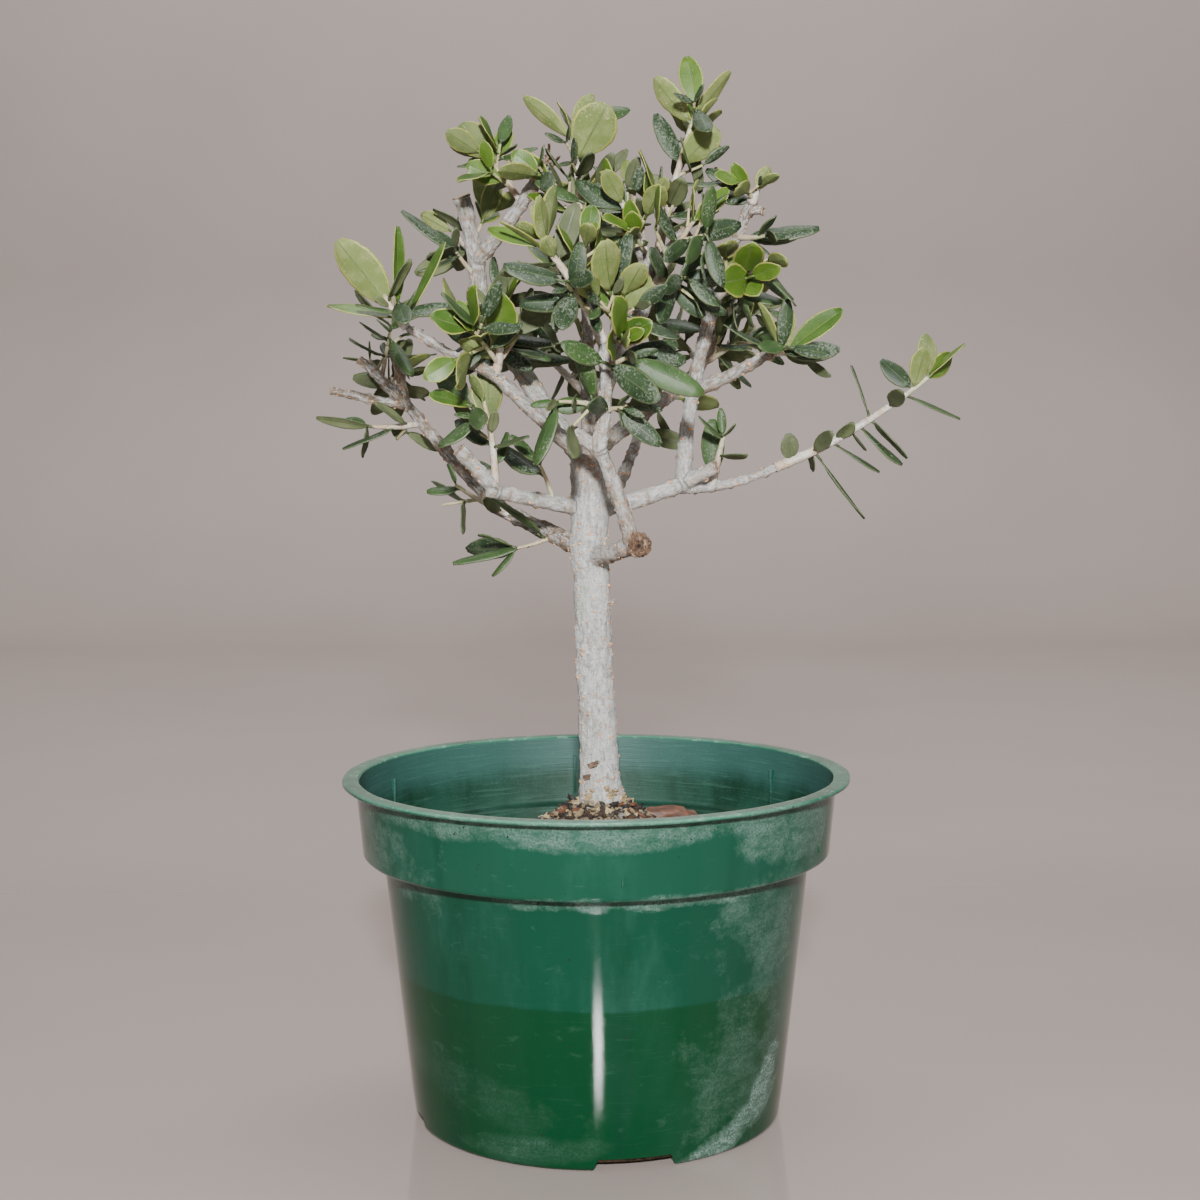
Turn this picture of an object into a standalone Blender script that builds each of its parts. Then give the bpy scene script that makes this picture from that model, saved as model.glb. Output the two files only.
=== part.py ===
"""A young olive tree in a plastic nursery pot, as one object per pot, soil, trunk, bough and mass of leaves.

Metres, +Z up. The origin is the middle of the pot's flat underside, and the front of the plant faces -Y.
Sizes in the tables are millimetres, turned into metres where a mesh is made.
"""

import math
import random

import bmesh
import bpy
import numpy as np
from mathutils import Matrix, Vector

MM = 0.001
GAP = 0.3  # clear room between neighbouring pieces

# the pot
POT_SIDES = 48
RIM_R = 82.5
POT_HEIGHT = 111.2
FLANGE_THICK = 1.3
COLLAR_TOP_R = 78.1
COLLAR_FOOT_R = 76.0
COLLAR_FOOT_Z = 86.1
BODY_TOP_R = 69.4
BODY_FOOT_R = 59.8
WALL = 1.15
FLOOR = 1.6
NOTCH_HEIGHT = 4.0
NOTCH_WIDTH_FOOT = 26.5
NOTCH_WIDTH_TOP = 22.6
NOTCH_DEPTH = 9.0
NOTCH_TURN = 11.0  # degrees from the front, towards +X
RIBS = 6

# the soil in it
SOIL_EDGE_Z = 80.0
MOUND_Z = 100.0
MOUND_R = 9.6

# name: (parent, share along the parent, tip, bow of the middle, radius at the foot, radius at the tip)
LIMBS = {
    "trunk": (None, 0, (-1.9, 0, 215), (-1.2, 0.5, 2), 6.3, 5.5),
    "knuckle_bough": ("trunk", 0.70, (13, -24, 187), (-1, 1, -1.5), 3.5, 3.3),
    "front_lower_bough": ("knuckle_bough", 0.93, (1.6, -30, 217), (2, -1, 0), 2.75, 2.55),
    "front_upper_bough": ("front_lower_bough", 1, (3.1, -30, 249), (3, -1, -1), 2.55, 2.1),
    "right_bough": ("trunk", 0.83, (30, 8, 205), (0, 0, -1.5), 3.3, 2.8),
    "right_long_bough": ("right_bough", 0.9, (60, 19, 209.5), (0, 1, -5), 2.3, 1.8),
    "right_upright_bough": ("right_bough", 0.97, (33, 13, 237), (-1.5, 0, 0), 2.9, 2.6),
    "right_upper_bough": ("right_upright_bough", 1, (50.7, 0, 294), (-3, 3, 3), 2.5, 2.1),
    "lit_right_bough": ("right_upright_bough", 0.93, (57, -6, 247), (0, 0, -2), 2.8, 2.0),
    "shaded_right_bough": ("trunk", 0.98, (32, 36, 237), (-1, 3, 3), 3.0, 2.6),
    "leader_bough": ("trunk", 0.99, (-2.1, 2, 276), (0.5, 3, 0), 2.9, 2.0),
    "centre_bough": ("leader_bough", 0.25, (19.6, -8, 272), (4, 2, -3), 2.9, 2.8),
    "upper_left_bough": ("trunk", 0.97, (-31, -20, 240), (1, -4, -1), 2.9, 2.3),
    "outer_left_bough": ("upper_left_bough", 0.97, (-57, -26, 254), (0, -1, -1), 2.0, 1.5),
    "tall_stub_bough": ("trunk", 0.96, (-37.5, 24, 265), (-2, 6, -1), 3.6, 3.4),
    "stub_top_bough": ("tall_stub_bough", 1, (-42.7, 20, 298.5), (2, 1, 0), 3.3, 3.1),
    "forked_bough": ("stub_top_bough", 0.38, (-13.8, 6, 308.4), (1, -2, -3), 2.7, 2.5),
    "left_low_bough": ("trunk", 0.84, (-33.2, -16, 204), (0, 1, -1), 3.0, 2.7),
    "back_left_bough": ("trunk", 0.72, (-32, 38, 195.5), (3, -1, -2), 3.7, 2.9),
    "back_left_end": ("back_left_bough", 1, (-67, 60, 233.5), (0, 2, -3), 2.8, 2.2),
    "back_bough": ("trunk", 0.90, (8, 42, 252), (-2, 9, -8), 3.1, 2.4),
    "back_low_bough": ("trunk", 0.78, (14, 50, 216), (0, 3, -6), 2.8, 2.2),
}
# cut side stubs: (limb, share along it, tip, radius at the foot, radius at the cut)
STUBS = (
    ("trunk", 0.555, (7.2, -2.0, 167.5), 1.1, 0.8),
    ("front_lower_bough", 0.97, (-6, -28.5, 221.5), 2.5, 2.3),
    ("right_bough", 0.96, (39.5, 4, 210), 2.5, 2.3),
    ("centre_bough", 0.97, (12.4, -12, 283.5), 2.5, 2.2),
    ("centre_bough", 0.97, (29.2, -12, 284), 2.4, 2.3),
    ("left_low_bough", 0.92, (-41.8, -20, 216.4), 2.5, 2.3),
    ("upper_left_bough", 0.94, (-34.3, -21.5, 241.8), 2.1, 1.9),
    ("lit_right_bough", 0.9, (56, -10.3, 245.5), 1.6, 1.4),
    ("right_upper_bough", 0.95, (54, -2, 291), 1.6, 1.5),
    ("back_left_end", 0.93, (-91.9, 62, 236.2), 1.8, 1.5),
    ("back_left_end", 0.9, (-81.7, 61, 246.9), 1.8, 1.7),
    ("back_left_end", 0.97, (-69.7, 60, 249.6), 1.9, 1.7),
)
# name: (bough, share along it, tip of the stem, bow, radius at the foot, twigs, twig length,
#        old leaf length, young leaf length, young share, reach, seed)
MASSES = {
    "front_tip_leaves": (
        "front_upper_bough", 1, (-14, -36, 277), (1, -1, 4),
        1.9, 3, 17, 18, 16, 0.5, 26, 57,
    ),
    "front_left_leaves": (
        "front_upper_bough", 0.40, (-11, -39, 231), (0, 0, 1),
        1.0, 1, 9, 20, 15, 0.1, 24, 29,
    ),
    "front_right_leaves": (
        "front_upper_bough", 0.75, (10.9, -38, 244.3), (0, 0, 0.5),
        1.1, 1, 9, 21, 15, 0.1, 24, 35,
    ),
    "left_tip_leaves": (
        "outer_left_bough", 1, (-63.6, -28, 264), (0, 0, -2),
        1.4, 2, 10, 17, 24, 0.7, 27, 90,
    ),
    "centre_left_leaves": (
        "upper_left_bough", 0.98, (-29, -25, 256), (2, 0, -1),
        1.6, 3, 15, 18, 18, 0.5, 26, 10,
    ),
    "low_left_leaves": (
        "left_low_bough", 0.93, (-34, -20, 231.5), (2, 0, 0),
        1.4, 3, 13, 19, 16, 0.45, 25, 30,
    ),
    "inner_left_leaves": (
        "tall_stub_bough", 0.66, (-44, 4, 262), (0, -2, 0),
        1.4, 4, 15, 19, 15, 0.3, 25, 29,
    ),
    "upper_left_leaves": (
        "forked_bough", 0.62, (-35.5, 8, 311), (0, 0, 2),
        1.2, 3, 12, 15, 14, 0.6, 24, 48,
    ),
    "stub_side_leaves": (
        "stub_top_bough", 0.45, (-47, 36, 289), (0, 0, -1),
        1.4, 3, 15, 20, 15, 0.3, 24, 85,
    ),
    "leader_leaves": (
        "leader_bough", 1, (-6.5, -4, 317), (1, 0, 0),
        1.8, 6, 17, 17, 17, 0.5, 26, 10,
    ),
    "inner_centre_leaves": (
        "centre_bough", 0.97, (6.5, -16, 297), (2, -1, 0),
        1.6, 4, 15, 17, 16, 0.5, 24, 29,
    ),
    "top_right_leaves": (
        "centre_bough", 1, (33, -8, 322), (-2, 0, 0),
        1.6, 2, 14, 17, 18, 0.65, 27, 75,
    ),
    "inner_right_leaves": (
        "centre_bough", 0.8, (31, -22, 286), (0, -2, 1),
        1.5, 4, 14, 17, 16, 0.4, 24, 11,
    ),
    "right_upper_leaves": (
        "right_upper_bough", 1, (52.5, -3, 298.5), (0, 0, 0),
        1.8, 3, 13, 19, 11, 0.5, 25, 79,
    ),
    "right_middle_leaves": (
        "right_upper_bough", 0.45, (55, -9, 275), (0, 0, 2),
        1.5, 4, 14, 18, 17, 0.4, 24, 69,
    ),
    "right_tip_leaves": (
        "lit_right_bough", 1, (61.2, -8, 246.2), (0, 0, -0.5),
        1.6, 2, 10, 16, 17, 0.7, 26, 46,
    ),
    "right_low_leaves": (
        "right_long_bough", 0.35, (42, 6, 220), (0, 0, 0),
        1.5, 1, 7, 19, 14, 0.1, 22, 38,
    ),
    "long_limb_leaves": (
        "right_long_bough", 1, (112, 30, 239), (0, 1, -5.5),
        1.7, 0, 9, 18, 16, 0.4, 27, 44,
    ),
    "back_left_leaves": (
        "back_left_end", 1, (-79, 66, 247), (0, 0, -2),
        1.8, 5, 17, 18, 14, 0.25, 30, 50,
    ),
    "low_back_leaves": (
        "back_left_bough", 0.85, (-47, 34, 204), (0, 0, -2),
        1.3, 2, 12, 19, 14, 0.1, 26, 19,
    ),
    "shaded_right_leaves": (
        "shaded_right_bough", 1, (50, 54, 266), (0, 0, -1),
        2.2, 4, 16, 18, 16, 0.4, 30, 71,
    ),
    "back_top_leaves": (
        "back_bough", 1, (4, 50, 299), (0, 2, 0),
        2.1, 4, 17, 18, 16, 0.4, 32, 47,
    ),
    "back_low_leaves": (
        "back_low_bough", 1, (20, 70, 240), (0, 2, -2),
        1.9, 3, 16, 18, 16, 0.4, 32, 39,
    ),
    "back_middle_leaves": (
        "back_bough", 0.6, (-24, 58, 256), (0, 2, -1),
        1.7, 3, 16, 18, 16, 0.4, 28, 21,
    ),
    "left_fan_leaves": (
        "back_left_end", 0.8, (-80, 62, 224), (0, 0, -2),
        1.3, 2, 12, 19, 14, 0.15, 26, 76,
    ),
    "low_spray_leaves": (
        "back_left_bough", 0.42, (-26, 14, 183.5), (0, 0, -1),
        0.9, 0, 8, 26, 14, 0.0, 34, 44,
    ),
    "fork_leaves": (
        "left_low_bough", 0.35, (-17, -13, 212), (0, 0, 1),
        0.9, 0, 8, 21, 14, 0.0, 26, 80,
    ),
    "stub_left_leaves": (
        "stub_top_bough", 0.22, (-45, 16, 281), (0, 0, -1),
        1.0, 1, 9, 21, 14, 0.1, 28, 81,
    ),
    "right_outer_leaves": (
        "right_upper_bough", 0.8, (55, -6, 283), (0, 0, -1),
        1.1, 1, 9, 22, 15, 0.2, 28, 41,
    ),
    "front_side_leaves": (
        "front_upper_bough", 0.85, (9, -40, 262), (0, -1, 0),
        1.2, 1, 10, 18, 19, 0.8, 24, 22,
    ),
    "front_low_leaves": (
        "front_upper_bough", 0.36, (9, -38, 229), (0, 0, 0.5),
        1.0, 0, 9, 19, 15, 0.0, 22, 47,
    ),
}
# leaves that stand out: share along the stem, length, width, lean to the right from upright,
# lean to the front, turn of the upper side from facing the front, young
LEADING = {
    "front_tip_leaves": (
        (0.15, 30, 8, 20, 15, 20, False),
        (0.8, 19, 7.5, 15, -5, 160, False),
        (1, 19, 6, -70, -5, -40, True),
        (0.85, 10, 5.5, -30, 45, -170, True),
        (0.9, 20, 5, -55, 25, -110, True),
    ),
    "front_left_leaves": (
        (0.3, 12, 6, -90, 5, -20, False),
    ),
    "front_right_leaves": (
        (0.9, 26, 8.5, 115, 5, 10, False),
    ),
    "left_tip_leaves": (
        (0.55, 28, 12.5, -35, 5, -170, True),
        (0.35, 23, 6.5, -75, -5, -50, True),
        (0.5, 28, 6, 5, -10, -60, True),
        (0.1, 29, 6, 25, 0, 60, True),
    ),
    "centre_left_leaves": (
        (0.45, 21, 11, 5, 35, 0, True),
        (0.75, 21, 7.5, 60, -10, 160, False),
        (0.3, 15, 6.5, -60, 25, -160, True),
    ),
    "low_left_leaves": (
        (0.75, 17, 11, -5, -15, 160, True),
    ),
    "upper_left_leaves": (
        (0.8, 15, 11, -35, 10, -170, True),
        (0.7, 14, 7, 20, -10, 20, True),
    ),
    "leader_leaves": (
        (0.75, 21, 15, 30, 15, 170, True),
        (0.9, 21, 6.5, -45, 5, -140, True),
        (1, 13, 5.5, 30, -10, 160, True),
    ),
    "inner_centre_leaves": (
        (0.65, 22, 7, -55, -10, -20, False),
        (0.8, 14, 6.5, -30, 30, 180, True),
    ),
    "top_right_leaves": (
        (0.65, 17, 10, 45, 15, 160, True),
        (0.4, 13, 9, -35, -25, 180, False),
        (0.9, 19, 8, -40, 5, -160, True),
        (1, 18, 8, -10, -10, 10, True),
        (0.95, 18, 7, 35, 5, 130, True),
        (0.65, 19, 6.5, -20, -10, -20, False),
    ),
    "right_upper_leaves": (
        (0.65, 9, 5.5, 25, 0, 160, True),
        (0.1, 12, 5.5, -75, -15, -30, False),
        (0.35, 16, 4.5, -50, -5, -110, True),
    ),
    "right_middle_leaves": (
        (0.2, 13, 11, 30, 20, 180, True),
    ),
    "right_tip_leaves": (
        (0.9, 23, 8.5, 50, 0, 40, True),
        (0.55, 19, 7.5, 85, 10, 20, False),
        (0.7, 18, 5.5, -25, 0, -120, True),
        (0.3, 20, 5.5, -60, 10, -70, False),
        (0.9, 15, 5, 5, 10, 180, True),
    ),
    "right_low_leaves": (
        (0.15, 20, 8, 0, 5, 0, False),
    ),
    "long_limb_leaves": (
        (0.9, 15, 7.5, 15, 10, 170, True),
        (0.9, 15, 7, -45, -10, -10, False),
        (1, 15, 7, 0, -10, -180, True),
        (0.1, 10, 6.5, -10, 15, 170, False),
        (0.4, 10, 6, 35, 40, 150, False),
        (0.25, 29, 5.5, 140, 0, 80, False),
        (1, 17, 5, 45, 0, 80, True),
        (0.55, 20, 5, 130, 0, 70, False),
        (0.85, 21, 5, 110, -5, 70, False),
    ),
    "low_back_leaves": (
        (0.9, 12, 5, -90, 0, -60, False),
    ),
    "left_fan_leaves": (
        (0.85, 21, 5, -80, 0, -130, False),
        (0.45, 21, 4.5, -110, 5, -60, False),
    ),
    "low_spray_leaves": (
        (0.7, 26, 4.5, -100, 0, -60, False),
    ),
    "stub_left_leaves": (
        (0.9, 23, 5.5, -50, 5, -40, False),
    ),
    "right_outer_leaves": (
        (0.5, 22, 6.5, 80, 5, 40, False),
    ),
    "front_side_leaves": (
        (0.8, 14, 12, 40, 10, 180, True),
        (0.55, 16, 7, -15, 5, -10, True),
    ),
    "front_low_leaves": (
        (0.65, 18, 6.5, 130, 0, 10, False),
    ),
}
TRUNK_FOOT = (2.0, 0.0, 100.3)



def unit(v):
    return v / math.sqrt(float(v @ v))


def path_of(start, tip, bow):
    start, tip = np.array(start, float), np.array(tip, float)
    return start, (start + tip) / 2 + np.array(bow, float), tip


def place(path, t):
    a, c, b = path
    return a * (1 - t) ** 2 + c * 2 * t * (1 - t) + b * t * t


def slope(path, t):
    a, c, b = path
    return unit((c - a) * (1 - t) + (b - c) * t)


def frame_of(axis, roll):
    """A direction square to the axis, turned about it by the roll."""
    side = np.cross(axis, (0.0, 0.0, 1.0)) if abs(axis[2]) < 0.95 else np.cross(axis, (0.0, 1.0, 0.0))
    side = unit(side)
    return side * math.cos(roll) + np.cross(side, axis) * math.sin(roll)


def half_width(s, young):
    """Half the width of a leaf, as a share of its greatest half width, at share s of its length."""
    s = (s - 0.09) / 0.91
    if s <= 0:
        return 0.16
    if young:
        return max(0.16 * (1 - s), math.sin(math.pi * s ** 1.12) ** 0.62)
    return max(0.16 * (1 - s), math.sin(math.pi * s ** 0.95) ** 0.55)


def limb_paths():
    paths = {}
    for name, (parent, share, tip, bow, foot_r, tip_r) in LIMBS.items():
        start = TRUNK_FOOT if parent is None else place(paths[parent][0], share)
        paths[name] = (path_of(start, tip, bow), foot_r, tip_r)
    return paths


def leaf_points(leaf, shares, across):
    """Points on a leaf: rows run from its root to its tip, columns from edge to edge."""
    base, along, face, length, width, young, bend = leaf
    side = np.cross(face, along)
    rows = []
    for s in shares:
        spine = base + along * (s * length) - face * (bend * length * s * s)
        half = half_width(s, young) * width / 2
        rows.append([spine + side * (half * a) for a in across])
    return np.array(rows)


def hit_leaf(points, leaf, room):
    base, along, face, length, width, young, bend = leaf
    side = np.cross(face, along)
    q = points - base
    s = q @ along / length
    h = q @ face + bend * length * s * s
    w = np.abs(q @ side)
    near = (s > 0.02) & (s < 1.03) & (np.abs(h) < room) & (w < width / 2 + room)
    for i in np.nonzero(near)[0]:
        if w[i] < half_width(min(max(s[i], 0.1), 0.98), young) * width / 2 + room:
            return True
    return False


def hit_rod(points, rod, room):
    a, b, ra, rb = rod
    ab = b - a
    t = np.clip((points - a) @ ab / (ab @ ab), 0, 1)
    d = np.linalg.norm(points - (a + t[:, None] * ab), axis=1)
    return bool((d < ra + (rb - ra) * t + room).any())


def rods_of(path, r0, r1, steps=6, first=0.0):
    ts = [first + (1 - first) * i / steps for i in range(steps + 1)]
    pts = [place(path, t) for t in ts]
    rr = [r0 + (r1 - r0) * t for t in ts]
    return [(pts[i], pts[i + 1], rr[i], rr[i + 1]) for i in range(steps)]


class Crown:
    """The limbs' room, and every mass's twigs and leaves as they are added."""

    def __init__(self):
        self.limbs = limb_paths()
        self.names = list(MASSES)
        self.rods = np.zeros((0, 8))
        self.rod_owner = np.zeros(0, int)
        for name, (path, r0, r1) in self.limbs.items():
            self.add_rods(-1, rods_of(path, r0, r1))
        for limb, share, tip, r0, r1 in STUBS:
            path = path_of(place(self.limbs[limb][0], share), tip, (0, 0, 0.3))
            self.add_rods(-1, rods_of(path, r0, r1, 3))
        self.stems = {}
        for n, (name, row) in enumerate(MASSES.items()):
            start = place(self.limbs[row[0]][0], row[1])
            self.stems[name] = path_of(start, row[2], row[3])
            self.add_rods(n, rods_of(self.stems[name], row[4], row[4] * 0.45))
        self.lines = np.array([[place(p, t / 8) for t in range(2, 9)] for p in self.stems.values()])
        self.reach = np.array([row[10] for row in MASSES.values()], float)
        self.leaves = []
        self.leaf_owner = np.zeros(0, int)
        self.middles = np.zeros((0, 3))
        self.outlines = np.zeros((0, 25, 3))
        self.led = {name: [] for name in MASSES}
        for name, rows in LEADING.items():
            for row in rows:
                leaf = self.led_leaf(name, *row)
                if self.leaf_fits(self.names.index(name), leaf):
                    self.led[name].append(leaf)
                    self.add_leaf(self.names.index(name), leaf)

    def led_leaf(self, name, share, length, width, lean, front, turn, young):
        """A leaf that leans so far from upright to the right, and so far to the front.

        Its upper side is turned so far from facing the front."""
        lean, front, turn = math.radians(lean), math.radians(front), math.radians(turn)
        flat = math.cos(front)
        along = np.array((math.sin(lean) * flat, -math.sin(front), math.cos(lean) * flat))
        face = unit(np.array((0, -1.0, 0)) + along * along[1])
        face = face * math.cos(turn) + np.cross(face, along) * math.sin(turn)
        return (place(self.stems[name], share), along, face, length, width, young, 0.05)

    def add_rods(self, owner, rods):
        rows = [np.concatenate((a, b, (ra, rb))) for a, b, ra, rb in rods]
        self.rods = np.vstack((self.rods, rows))
        self.rod_owner = np.append(self.rod_owner, [owner] * len(rows))

    def add_leaf(self, owner, leaf):
        pts = leaf_points(leaf, (0.3, 0.5, 0.7, 0.85, 1.0), (-1, -0.5, 0, 0.5, 1)).reshape(-1, 3)
        self.leaves.append(leaf)
        self.leaf_owner = np.append(self.leaf_owner, owner)
        self.middles = np.vstack((self.middles, [pts[7]]))
        self.outlines = np.vstack((self.outlines, [pts]))

    def clear_of_rods(self, pts, owner, own_room, room):
        a, b = self.rods[:, 0:3], self.rods[:, 3:6]
        ab = b - a
        t = ((pts[:, None, :] - a) * ab).sum(2) / (ab * ab).sum(1)
        t = np.clip(t, 0, 1)
        d = np.linalg.norm(pts[:, None, :] - (a + t[..., None] * ab), axis=2)
        thick = self.rods[:, 6] + (self.rods[:, 7] - self.rods[:, 6]) * t
        return bool((d > thick + np.where(self.rod_owner == owner, own_room, room)).all())

    def owns(self, point, owner):
        near = np.linalg.norm(self.lines - point, axis=2).min(1) / self.reach
        return near[owner] <= 1 and near[owner] * 0.8 <= np.delete(near, owner).min()

    def twig_fits(self, owner, path, r):
        pts = np.array([place(path, t / 8) for t in range(3, 9)])
        if not self.owns(pts[-1], owner) or not self.clear_of_rods(pts, owner, r + 0.2, r + 0.5):
            return False
        for i in np.nonzero(np.linalg.norm(self.middles - pts[3], axis=1) < 30)[0]:
            if hit_leaf(pts, self.leaves[i], r + 0.6):
                return False
        return True

    def leaf_fits(self, owner, leaf):
        pts = leaf_points(leaf, (0.3, 0.45, 0.6, 0.75, 0.9, 1.0), (-1, -0.5, 0, 0.5, 1)).reshape(-1, 3)
        if not self.owns(pts[17], owner) or not self.clear_of_rods(pts, owner, 0.45, 0.75):
            return False
        for i in np.nonzero(np.linalg.norm(self.middles - pts[12], axis=1) < 30)[0]:
            room = 0.5 if self.leaf_owner[i] == owner else 0.85
            if hit_leaf(pts, self.leaves[i], room) or hit_leaf(self.outlines[i], leaf, room):
                return False
        return True

    def clad(self, owner, rng, path, r0, r1, first, roll, level, out):
        """Opposite leaves, each pair a quarter turn on from the last, and twigs in some of their axils."""
        row = MASSES[self.names[owner]]
        stem_r, twigs, twig_len, old_len, young_len, young_share = row[4:10]
        length = float(np.linalg.norm(path[1] - path[0]) + np.linalg.norm(path[2] - path[1]))
        room = 7.5 if level == 0 else 6.0
        count = max(1, round(length * (1 - first) / room))
        fresh = rng.random() < young_share * (2.5 if level == 0 else 1)
        for k in range(count + 1):
            t = min(first + (1 - first) * k / count, 0.985)
            axis, here = slope(path, t), place(path, t)
            rad = r0 + (r1 - r0) * t
            last = count - k
            young = fresh and (last == 0 or (last == 1 and rng.random() < young_share))
            side = frame_of(axis, roll)
            roll += math.pi / 2 + rng.uniform(-0.25, 0.25)
            for sign in (-1, 1):
                radial = side * sign
                if level == 0 and last >= 1 and rng.random() < twigs / (2.0 * count):
                    lean = rng.uniform(0.7, 1.05)
                    way = unit(axis * math.cos(lean) + radial * math.sin(lean) + np.array((0, 0, 0.12)))
                    size = twig_len * rng.uniform(0.7, 1.25) * (1.1 - 0.35 * t)
                    twig = path_of(here, here + way * size, (0, 0, 0))
                    tr = max(0.55, stem_r * 0.5)
                    if self.twig_fits(owner, twig, tr):
                        out["twigs"].append((twig, tr, 0.45))
                        self.add_rods(owner, rods_of(twig, tr, 0.45, 3, 0.25))
                        self.clad(owner, rng, twig, tr, 0.45, 0.4, roll + rng.uniform(0, 3), 1, out)
                        continue
                if not young and rng.random() < 0.2:
                    continue
                self.try_leaf(owner, rng, here + radial * rad * 0.2, axis, radial, young, 0, out)
            if last == 0 and (fresh or level == 0):
                side = frame_of(axis, roll)
                for sign in (-1, 1):
                    self.try_leaf(owner, rng, here, axis, side * sign, young, 1, out)

    def try_leaf(self, owner, rng, root, axis, radial, young, upright, out):
        row = MASSES[self.names[owner]]
        old_len, young_len = row[7:9]
        if young:
            size, wide = young_len * rng.uniform(0.72, 1.12), rng.uniform(0.44, 0.62)
            lean = rng.uniform(0.35, 0.75)
        else:
            size, wide = old_len * rng.uniform(0.75, 1.12), rng.uniform(0.29, 0.42)
            lean = rng.uniform(0.85, 1.35)
        if upright:
            size *= rng.uniform(0.45, 0.75)
            lean *= 0.45
        drop = np.array((0, 0, 0.1 if young else -0.12))
        along = unit(axis * math.cos(lean) + radial * math.sin(lean) + drop)
        face = unit(axis - along * float(axis @ along))
        turn = rng.uniform(-0.45, 0.45)
        face = unit(face * math.cos(turn) + np.cross(face, along) * math.sin(turn))
        leaf = (root, along, face, size, size * wide, young, rng.uniform(0.0, 0.14))
        if self.leaf_fits(owner, leaf):
            out["leaves"].append(leaf)
            self.add_leaf(owner, leaf)

    def grow(self, name, seed=None):
        row = MASSES[name]
        owner = self.names.index(name)
        rng = random.Random((row[11] if seed is None else seed) * 97 + owner)
        out = {"twigs": [], "leaves": list(self.led[name])}
        self.clad(owner, rng, self.stems[name], row[4], row[4] * 0.45, 0.24, rng.uniform(0, math.pi), 0, out)
        return out


def clear_scene():
    for item in list(bpy.data.objects):
        bpy.data.objects.remove(item, do_unlink=True)
    for group in list(bpy.data.collections):
        bpy.data.collections.remove(group)


def new_collection(name):
    group = bpy.data.collections.new(name)
    bpy.context.scene.collection.children.link(group)
    return group


def add(name, mesh, at, home):
    """An object of the mesh, placed at a point given in millimetres."""
    item = bpy.data.objects.new(name, mesh)
    item.location = [float(c) * MM for c in at]
    home.objects.link(item)
    return item


def finish(item, colour, roughness):
    mat = bpy.data.materials.new(item.name + "_finish")
    mat.use_nodes = True
    shader = mat.node_tree.nodes["Principled BSDF"]
    shader.inputs["Base Color"].default_value = (*colour, 1.0)
    shader.inputs["Roughness"].default_value = roughness
    shader.inputs["Metallic"].default_value = 0.0
    mat.diffuse_color = (*colour, 1.0)
    item.data.materials.append(mat)


def as_cutter(item):
    item.hide_render = True
    item.display_type = "WIRE"


def turned(name, profile, steps, home):
    """A turned solid: the profile runs from the axis inside, over the top and down the outside."""
    mesh = bpy.data.meshes.new(name)
    points = [(r * MM, 0.0, z * MM) for r, z in profile]
    mesh.from_pydata(points, [(k, k + 1) for k in range(len(points) - 1)], [])
    item = add(name, mesh, (0, 0, 0), home)
    screw = item.modifiers.new("turn", "SCREW")
    screw.steps = steps
    screw.render_steps = steps
    screw.use_merge_vertices = True
    screw.merge_threshold = 0.00001
    screw.use_smooth_shade = False
    return item


def block(name, sizes, at, turn, home, top=1.0):
    """A box turned about Z, its top narrowed across by the share given."""
    mesh = bpy.data.meshes.new(name)
    bm = bmesh.new()
    bmesh.ops.create_cube(bm, size=MM)
    for vert in bm.verts:
        vert.co.x *= sizes[0]
        vert.co.y *= sizes[1] * (top if vert.co.z > 0 else 1.0)
        vert.co.z *= sizes[2]
    bm.to_mesh(mesh)
    bm.free()
    item = add(name, mesh, at, home)
    item.rotation_euler = (0, 0, turn)
    as_cutter(item)
    return item


def boolean(item, operation, group, solver="EXACT"):
    modifier = item.modifiers.new(operation.lower(), "BOOLEAN")
    modifier.operation = operation
    modifier.operand_type = "COLLECTION"
    modifier.collection = group
    modifier.solver = solver
    return modifier


def evaluated_mesh(item):
    deps = bpy.context.evaluated_depsgraph_get()
    deps.update()
    return bpy.data.meshes.new_from_object(item.evaluated_get(deps))


def fuse(item, operation, pieces, solver):
    """One Boolean with a collection of pieces, applied, and the pieces removed."""
    if not pieces:
        return
    group = new_collection("operands")
    for piece in pieces:
        for home in list(piece.users_collection):
            home.objects.unlink(piece)
        group.objects.link(piece)
        as_cutter(piece)
    boolean(item, operation, group, solver)
    mesh = evaluated_mesh(item)
    item.modifiers.clear()
    old = item.data
    item.data = mesh
    bpy.data.meshes.remove(old)
    for piece in list(group.objects):
        bpy.data.objects.remove(piece, do_unlink=True)
    bpy.data.collections.remove(group)


def rod(name, path, radius, shares, resolution, home, flat_foot=False):
    """A tapering limb along a path: a bevelled curve with filled caps, made a mesh."""
    curve = bpy.data.curves.new(name, "CURVE")
    curve.dimensions = "3D"
    curve.bevel_depth = MM
    curve.bevel_resolution = resolution
    curve.use_fill_caps = True
    spots = [(place(path, t), radius(t)) for t in shares]
    if flat_foot:
        spots.insert(1, (spots[0][0] + np.array((0.0, 0.0, 0.8)), radius(0.006)))
    start = spots[0][0]
    line = curve.splines.new("POLY")
    line.points.add(len(spots) - 1)
    for point, (spot, r) in zip(line.points, spots):
        point.co = (*((spot - start) * MM), 1.0)
        point.radius = r
    guide = add(name + "_line", curve, start, home)
    mesh = evaluated_mesh(guide)
    bpy.data.objects.remove(guide, do_unlink=True)
    bpy.data.curves.remove(curve)
    bm = bmesh.new()
    bm.from_mesh(mesh)
    bmesh.ops.remove_doubles(bm, verts=bm.verts, dist=0.00001)
    bmesh.ops.recalc_face_normals(bm, faces=bm.faces)
    bm.to_mesh(mesh)
    bm.free()
    mesh.shade_smooth()
    mesh.set_sharp_from_angle(angle=math.radians(50))
    return add(name, mesh, start, home)


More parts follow.
